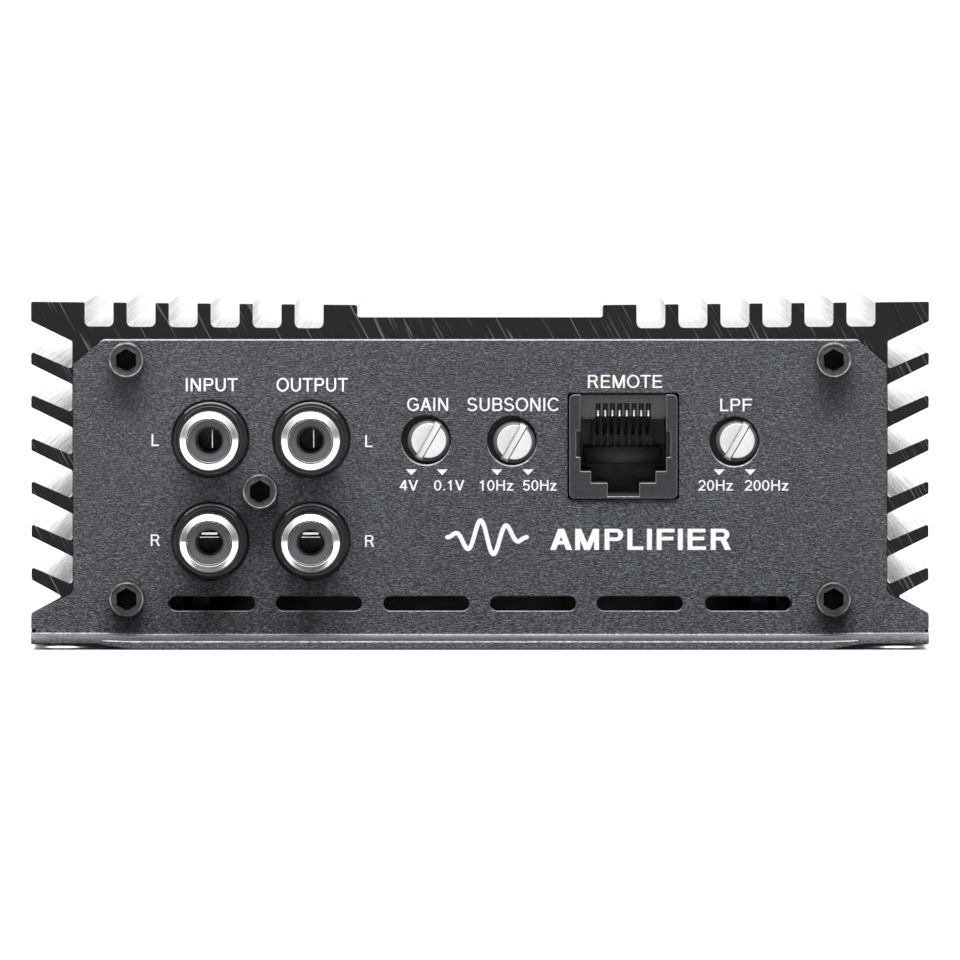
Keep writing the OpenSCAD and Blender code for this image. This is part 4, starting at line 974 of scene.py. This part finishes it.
# ---- remote jack
def build_remote_jack():
    cx, cz = REMOTE
    front = -FACE_Y - 0.4
    mouth, length, room = 6.05, 17.0, 13.0      # half width of the plug space, housing, plug space
    roof = cz + 4.19

    def box(half, y0, y1, z0, z1):
        return block(cx - half, cx + half, front + y0, front + y1, cz + z0, cz + z1)

    plug = [(-mouth, -3.5), (-4.55, -3.5), (-4.55, -5.14), (-2.2, -5.14), (-2.2, -7.04), (2.25, -7.04),
            (2.25, -5.14), (4.55, -5.14), (4.55, -3.5), (mouth, -3.5), (mouth, 4.19), (-mouth, 4.19)]
    mesh = prism(rounded_rect(cx, cz, REMOTE_W - 0.4, REMOTE_H - 0.3, 0.75, 8), front, front + length)
    for tool in (prism([(cx + a, cz + b) for a, b in plug], front - 1.0, front + room),
                 box(3.9, -1.0, room, 4.1, 6.05), box(mouth, -1.0, 0.8, 4.1, 8.0),
                 box(6.65, -1.0, 3.0, -1.49, 2.14)):
        mesh = cut(mesh, tool)
    mesh = crisp(mesh, 0.11, 2, 40.0)

    # painted highlight: the front faces that look up are light grey and the rounded front edges grey; painted
    # shade: the plastic is darker behind the front and darker still deeper in
    def outline(c, n):
        return c.y < front + 0.2 and 0.3 < n.z and n.y < 0.1

    def rounded(c, n):
        return c.y < front + 0.2 and -0.95 < n.y < -0.1

    paint(mesh, "jack_plastic", ("moulding_highlight", outline), ("grey_painted_light", rounded),
          ("jack_deep_shade", lambda c, n: c.y > front + 0.9), ("jack_shade", lambda c, n: c.y > front + 0.3))
    parts = [mesh]
    # comb that keeps the contacts apart, and the ribs at the back, painted dark as shade
    for i in range(9):
        x = cx + (i - 4) * CONTACT_PITCH
        tooth = bevelled(block(x - 0.2, x + 0.2, front + 0.85, front + 3.0, cz + 4.22, cz + 6.1), 0.05, 1)
        rib = block(x - 0.14, x + 0.14, front + 11.6, front + 13.1, cz - 0.5, cz + 4.4)
        parts += [painted(tidy(tooth), "jack_shade"), painted(rib, "jack_deep_shade")]
    # lip under the comb, the stop at the back of the plug space and the latch's floor
    for a, b in ((-mouth, -4.0), (4.0, mouth)):
        lip = bevelled(block(cx + a, cx + b, front + 0.82, front + 2.6, cz + 3.85, cz + 4.4), 0.12, 2)
        parts.append(painted(tidy(lip), "jack_plastic"))
    parts.append(tidy(bevelled(box(5.4, 11.2, 13.1, -2.9, -0.43), 0.12, 2)))
    parts.append(box(2.2, 0.35, 6.0, -7.1, -6.75))
    link("remote_jack_body", joined(parts), "jack_plastic", "remote_jack_housing")
    wires = []
    for i in range(8):
        wire = contact_wire(cx + (i - 3.5) * CONTACT_PITCH, front, roof)
        # painted light: each wire is dark as shade, with a painted highlight where it shows just above the
        # roof
        wires.append(paint(wire, "spring_shade", ("spring_highlight", lambda c, n: cz + 4.25 < c.z < cz + 5.1)))
    link("remote_jack_wires", joined(wires), "contact_metal", "remote_jack_contacts")


def contact_wire(x, front, roof):
    """One spring contact: down behind the comb, round a small bend, then back and down into the plug
    space."""
    path = [(1.3, 1.75), (1.28, 0.9), (1.27, 0.6), (1.25, 0.35)]
    path += [(1.55 - 0.3 * cos(radians(a)), 0.3 - 0.35 * sin(radians(a)))
             for a in (10, 30, 50, 70, 90)]
    path += [(2.6, -0.3), (6.0, -1.2), (11.0, -2.5), (12.7, -2.9)]
    path = [(front + y, roof + z) for y, z in path]
    r, sides = 0.19, 8
    verts = []
    for k, (y, z) in enumerate(path):
        before, after = path[max(0, k - 1)], path[min(len(path) - 1, k + 1)]
        d = Vector((after[0] - before[0], after[1] - before[1])).normalized()
        nrm = Vector((-d.y, d.x))
        for s in range(sides):
            t = 2 * pi * s / sides
            verts.append((x + r * cos(t), y + nrm.x * r * sin(t), z + nrm.y * r * sin(t)))
    return tidy(closed_tube(verts, sides), 50.0)


# ---- printed legends
INK_FRONT, INK_BACK = 0.02, -0.01


def slant(x0, z0, x1, z1, width):
    """A slanting stroke with level ends, from its middle at the bottom to its middle at the top."""
    half = width / 2
    return [(x0 - half, z0), (x0 + half, z0), (x1 + half, z1), (x1 - half, z1)]


def bow(cx, cz, rx, rz, a0, a1, stem, flat):
    """Part of an oval stroke, in degrees, as pieces of at most 30 degrees."""
    pieces = []
    count = max(1, ceil(abs(a1 - a0) / 30.0))
    for k in range(count):
        b0 = a0 + (a1 - a0) * k / count
        b1 = a0 + (a1 - a0) * (k + 1) / count
        angles = [radians(b0 + (b1 - b0) * i / 4) for i in range(5)]
        outside = [(cx + rx * cos(a), cz + rz * sin(a)) for a in angles]
        inside = [(cx + (rx - stem) * cos(a), cz + (rz - flat) * sin(a)) for a in reversed(angles)]
        pieces.append(outside + inside)
    return pieces


def alphabet(s, h):
    """Plain sans serif capitals, digits and signs, one unit high, with stem width s and level stroke h:
    the advance and the strokes of each."""
    def left(x, z0=0, z1=1):
        return bar(x, z0, x + s, z1)

    def right(x, z0=0, z1=1):
        return bar(x - s, z0, x, z1)

    def level(x0, x1, z=0):
        return bar(x0, z, x1, z + h)

    def under(x0, x1, z=1):
        return bar(x0, z - h, x1, z)

    def lean(x0, x1, wide=1.2, z0=0, z1=1):
        return slant(x0, z0, x1, z1, s * wide)

    def oval(cx, cz, rx, rz, a0=0, a1=360):
        return bow(cx, cz, rx, rz, a0, a1, s, h)

    def p_shape(low):
        return [left(0.12), under(0.12, 0.61), level(0.12, 0.61, low)] + oval(
            0.60, (1 + low) / 2, 0.27, (1 - low) / 2, -90, 90)

    f_shape = [left(0.12), under(0.12, 0.84), level(0.12, 0.79, 0.455)]
    thin, edge = s * 0.6, s * 0.62
    low, high = 0.455, 0.455 + h
    s_low, s_high = 0.50 - h / 2, 0.50 + h / 2
    up, down = (1.015 - s_low) / 2, (s_high + 0.015) / 2
    return {
        "A": (0.929, [lean(0.02 + thin, 0.465), lean(0.91 - thin, 0.465), level(0.22, 0.71, 0.26)]),
        "B": (0.929, [left(0.10), under(0.10, 0.60), level(0.10, 0.60, low), level(0.10, 0.60)]
              + oval(0.575, (1 + low) / 2, 0.265, (1 - low) / 2, -90, 90)
              + oval(0.585, high / 2, 0.288, high / 2, -90, 90)),
        "C": (1.006, oval(0.54, 0.5, 0.48, 0.515, 38, 322)),
        "D": (1.006, [left(0.11), under(0.11, 0.50), level(0.11, 0.50)]
              + oval(0.49, 0.5, 0.45, 0.5, -90, 90)),
        "E": (0.929, f_shape + [level(0.12, 0.86)]),
        "F": (0.851, f_shape),
        "G": (1.084, oval(0.545, 0.5, 0.485, 0.515, 38, 338)
              + [level(0.56, 0.985, 0.41), right(0.985, 0.14, 0.41 + h)]),
        "H": (1.006, [left(0.11), right(0.90), level(0.11, 0.90, 0.455)]),
        "I": (0.39, [left(0.12)]),
        "K": (0.929, [left(0.106), lean(0.20, 0.80, 1.4, 0.30), lean(0.84, 0.42, 1.3, 0, 0.60)]),
        "L": (0.774, [left(0.11), level(0.11, 0.75)]),
        "M": (1.16, [left(0.10), right(1.06), lean(0.58, 0.10 + edge), lean(0.58, 1.06 - edge)]),
        "N": (1.006, [left(0.106), right(0.90), lean(0.90 - edge, 0.106 + edge, 1.24)]),
        "O": (1.084, oval(0.5415, 0.5, 0.4875, 0.515)),
        "P": (0.929, p_shape(0.42)),
        "R": (1.006, p_shape(0.445) + [lean(0.935 - thin, 0.60, 1.22, 0, 0.445 + h / 2)]),
        "S": (0.929, oval(0.462, s_low + up, 0.355, up, 18, 270)
              + oval(0.462, s_high - down, 0.395, down, 90, -162)),
        "T": (0.851, [under(0.02, 0.83), left(0.425 - s / 2)]),
        "U": (1.006, [left(0.11, 0.36), right(0.897, 0.36)] + oval(0.5035, 0.36, 0.3935, 0.375, 180)),
        "V": (0.929, [lean(0.465, 0.03 + thin), lean(0.465, 0.90 - thin)]),
        "W": (1.315, [lean(0.36, 0.02 + thin, 1.15), lean(0.36, 0.655, 1.15),
                      lean(0.95, 0.655, 1.15), lean(0.95, 1.29 - thin, 1.15)]),
        "z": (0.696, [under(0.06, 0.64, 0.72), level(0.04, 0.655),
                      lean(0.15, 0.53, 1.35, h * 0.6, 0.72 - h * 0.6)]),
        "0": (0.776, oval(0.388, 0.49, 0.335, 0.505)),
        "1": (0.776, [right(0.50, 0, 0.985), [(0.14, 0.69), (0.43, 0.71), (0.50, 0.985), (0.14, 0.80)]]),
        "2": (0.776, oval(0.375, 0.675, 0.33, 0.32, 172, -28)
              + [lean(0.14, 0.57, 1.45, h * 0.5, 0.52), level(0.04, 0.71)]),
        "4": (0.776, [right(0.60, 0, 0.985), level(0.035, 0.735, 0.225),
                      lean(0.035 + thin, 0.60 - thin, 1.2, 0.225 + h * 0.5, 0.985)]),
        "5": (0.776, [under(0.15, 0.67, 0.985), lean(0.05 + s / 2, 0.13 + s / 2, 1.0, 0.43, 0.985)]
              + oval(0.375, 0.32, 0.34, 0.335, 128, -160)),
        "+": (0.813, [level(0.06, 0.75, 0.36 - h / 2), bar(0.405 - h / 2, 0.02, 0.405 + h / 2, 0.70)]),
        "-": (0.813, [level(0.06, 0.75, 0.36 - h / 2)]),
        ".": (0.387, [left(0.12, 0, s)]),
    }


def ink(shapes):
    """Overlapping flat shapes as one thin raised film on the front panel, with no face doubled."""
    verts, faces = [], []
    for shape in shapes:
        area = sum(a[0] * b[1] - b[0] * a[1] for a, b in zip(shape, shape[1:] + shape[:1]))
        faces.append(list(range(len(verts), len(verts) + len(shape))))
        verts += [Vector(p) for p in (shape if area > 0 else shape[::-1])]
    flat, _, tris, _, _, sources = geometry.delaunay_2d_cdt(verts, [], faces, 0, 1e-5)
    keep = [tri for tri, source in zip(tris, sources) if source]
    count = len(flat)
    points = [(x, -FACE_Y - height, z) for height in (INK_FRONT, INK_BACK) for x, z in flat]
    edges = {}
    for tri in keep:
        for a, b in zip(tri, tri[1:] + tri[:1]):
            edges[(a, b)] = edges.get((a, b), 0) + 1
    out = [list(tri) for tri in keep] + [[count + i for i in reversed(tri)] for tri in keep]
    out += [[b, a, count + a, count + b] for a, b in edges if (b, a) not in edges]
    mesh = mesh_from(points, out)
    bm = bmesh.new()
    bm.from_mesh(mesh)
    bmesh.ops.delete(bm, geom=[v for v in bm.verts if not v.link_faces], context="VERTS")
    bm.to_mesh(mesh)
    bm.free()
    return tidy(mesh)


def lettering(text, cx, z0, z1, width, stem=0.15, level=0.125):
    """Strokes of a word centred on cx, its capitals from z0 to z1, squeezed to a width, in mm."""
    letters = alphabet(stem, level)
    strokes, pen = [], 0.0
    for char in text:
        advance, shapes = letters[char]
        strokes += [[(x + pen, z) for x, z in shape] for shape in shapes]
        pen += advance
    xs = [x for shape in strokes for x, _ in shape]
    scale = width / (max(xs) - min(xs))
    middle = (max(xs) + min(xs)) / 2
    return [[(cx + (x - middle) * scale, z0 + z * (z1 - z0)) for x, z in shape] for shape in strokes]


FRONT_WORDS = (
    ("INPUT", -37.9, 35.75, 37.6, 7.35), ("OUTPUT", -23.7, 35.72, 37.63, 10.1),
    ("L", -45.9, 28.0, 29.7, 1.05), ("R", -45.9, 13.85, 15.5, 1.3),
    ("L", -15.7, 27.85, 29.55, 1.05), ("R", -15.6, 13.75, 15.4, 1.3),
    ("GAIN", -7.4, 32.97, 34.83, 5.8), ("SUBSONIC", 4.66, 32.95, 34.83, 12.9),
    ("REMOTE", 20.5, 36.22, 38.06, 10.5), ("LPF", 36.2, 32.93, 34.7, 4.5),
    ("4V", -10.05, 21.72, 23.2, 2.65), ("0.1V", -4.35, 21.72, 23.2, 4.3),
    ("10Hz", 2.33, 21.7, 23.2, 4.75), ("50Hz", 8.45, 21.7, 23.2, 4.75),
    ("20Hz", 33.3, 21.7, 23.2, 4.9), ("200Hz", 40.5, 21.7, 23.2, 6.2),
)
REAR_WORDS = (
    ("GND", 37.5, 28.2, 30.0, 5.0), ("REM", 28.0, 28.2, 30.0, 5.0), ("+12V", 18.5, 28.2, 30.0, 6.0),
    ("POWER", -7.5, 34.2, 35.6, 5.8), ("PROTECT", 2.5, 34.2, 35.6, 7.2), ("SPEAKER", -30.0, 29.3, 31.1, 11.0),
    ("+", -20.25, 26.2, 28.0, 1.3), ("-", -26.75, 26.2, 28.0, 1.3),
    ("+", -33.25, 26.2, 28.0, 1.3), ("-", -39.75, 26.2, 28.0, 1.3),
)
POINTER_X = (-9.7, -5.35, 2.4, 6.8, 33.8, 38.2)


def wave_line(width=0.62, steps=66):
    """A plain generic mark: three periods of a sine wave that swells and fades, as short strokes with
    round joints."""
    points = []
    for i in range(steps + 1):
        t = i / steps
        swell = 2.5 * sin(pi * t) ** 1.2
        points.append(Vector((-4.6 + 11.2 * t, 15.1 + swell * sin(6 * pi * t))))
    shapes = [circle(p.x, p.y, width / 2, 14, 0.1 * i) for i, p in enumerate(points)]
    for a, b in zip(points, points[1:]):
        d = (b - a).normalized() * width / 2
        side = Vector((-d.y, d.x))
        shapes.append([tuple(a + side), tuple(b + side), tuple(b - side), tuple(a - side)])
    return shapes


def build_legends():
    """The ink has no slot of its own in the record. It is painted white ink, and white_shaft is only passed
    to link as its slot.
    """
    parts = [ink(lettering(*word)) for word in FRONT_WORDS]
    parts += [ink([[(x - 0.785, 24.7), (x, 23.88), (x + 0.785, 24.7)]]) for x in POINTER_X]
    parts.append(ink(wave_line()))
    parts.append(ink(lettering("AMPLIFIER", 22.7, 13.3, 16.3, 25.6, 0.20, 0.17)))
    link("panel_legends", painted(joined(parts), "white_ink"), "white_shaft")
    rear = [moved(ink(lettering(*word)), HALF_TURN) for word in REAR_WORDS]
    link("rear_legends", painted(joined(rear), "white_ink"), "white_shaft")


# ---- CAD nodes that keep their shape
SOFTENED = {"power_terminal_housing": 0.35, "speaker_terminal_housing": 0.3, "fuse_holder": 0.3,
            "fuse_bodies": 0.25, "bottom_plate": 0.15}


def soften(node, width):
    """Rounds the edges of a kept CAD node."""
    mod = frame["nodes"][node].modifiers.new("soften", "BEVEL")
    mod.width = width * MM
    mod.segments = 2
    mod.limit_method = "ANGLE"
    mod.angle_limit = radians(40.0)


def dress_nodes():
    slots = {part["node"]: part["material_slot"] for part in frame["record"]["subparts"]}
    for name, obj in frame["nodes"].items():
        if not obj.hide_render:
            painted(obj.data, slots[name])
    for node, width in SOFTENED.items():
        soften(node, width)


# ---- stage, light and camera
def area_light(name, place, target, size, power):
    light = bpy.data.lights.new(name, "AREA")
    light.shape = "RECTANGLE"
    light.size, light.size_y = size
    light.energy = power
    obj = put(name, light)
    obj.location = place
    obj.rotation_euler = (Vector(target) - Vector(place)).to_track_quat("-Z", "Y").to_euler()


SKY_LOW, SKY_FRONT, SKY_BACK, SKY_TOP = 0.10, 0.15, 1.0, 1.1


def build_stage():
    size = 30.0
    mesh = bpy.data.meshes.new("floor")
    corners = [(x, y, 0) for x, y in bar(-size, -size, size, size)]
    mesh.from_pydata(corners, [], [[0, 1, 2, 3]])
    floor = put("floor", mesh)
    floor.location.z = -0.00005
    floor.visible_diffuse = False
    mat, tree, bsdf, obj = new_material("pale_floor")
    pale = ramp(tree, noise(tree, obj, 3.0, 2.0), [(0.3, (0.90, 0.90, 0.90)), (0.7, (0.93, 0.93, 0.93))])
    feed_all(tree, bsdf, {"Base Color": pale, "Roughness": 0.9, "Specular IOR Level": 0.1})
    mesh.materials.append(mat)

    world = bpy.data.worlds.new("studio")
    bpy.context.scene.world = world
    world.use_nodes = True
    tree = world.node_tree
    sky = tree.nodes["Background"]
    sky.inputs["Color"].default_value = (1.0, 1.0, 1.0, 1.0)
    axes = tree.nodes.new("ShaderNodeSeparateXYZ")
    tree.links.new(tree.nodes.new("ShaderNodeTexCoord").outputs["Generated"], axes.inputs[0])
    around = spread(tree, axes.outputs["Y"], SKY_FRONT, SKY_BACK, -0.30, 0.25)
    above = spread(tree, axes.outputs["Z"], 0.0, SKY_TOP, 0.25, 0.85)
    lifted = spread(tree, axes.outputs["Z"], 0.0, 1.0, -0.06, 0.0)
    light = combine(tree, "MULTIPLY", add(tree, around, above), lifted)
    tree.links.new(combine(tree, "ADD", light, SKY_LOW), sky.inputs["Strength"])

    area_light("overhead", (0.0, -0.75, 1.35), (0, -0.1, 0.02), (1.1, 0.35), 34.0)
    area_light("fill", (-0.35, -1.6, 0.9), (0, -0.1, 0.02), (1.2, 0.7), 4.0)


PITCH, DISTANCE, AIM_Z = radians(2.477), 1.450, 0.0232


def build_camera():
    cam = bpy.data.cameras.new("camera")
    cam.sensor_width = 36.0
    cam.lens = 385.0
    cam.clip_start = 0.05
    cam.clip_end = 100.0
    obj = put("camera", cam)
    obj.location = (0.0, -FACE_Y * MM - DISTANCE, AIM_Z + DISTANCE * tan(PITCH))
    obj.rotation_euler = (pi / 2 - PITCH, 0.0, 0.0)
    bpy.context.scene.camera = obj
    bpy.context.scene.view_settings.view_transform = "Standard"
    bpy.context.scene.view_settings.look = "None"


random.seed(7)
build_camera()
build_heatsink()
build_panels()
build_cap_screws()
build_jacks()
build_controls()
build_remote_jack()
build_legends()
dress_nodes()
build_stage()
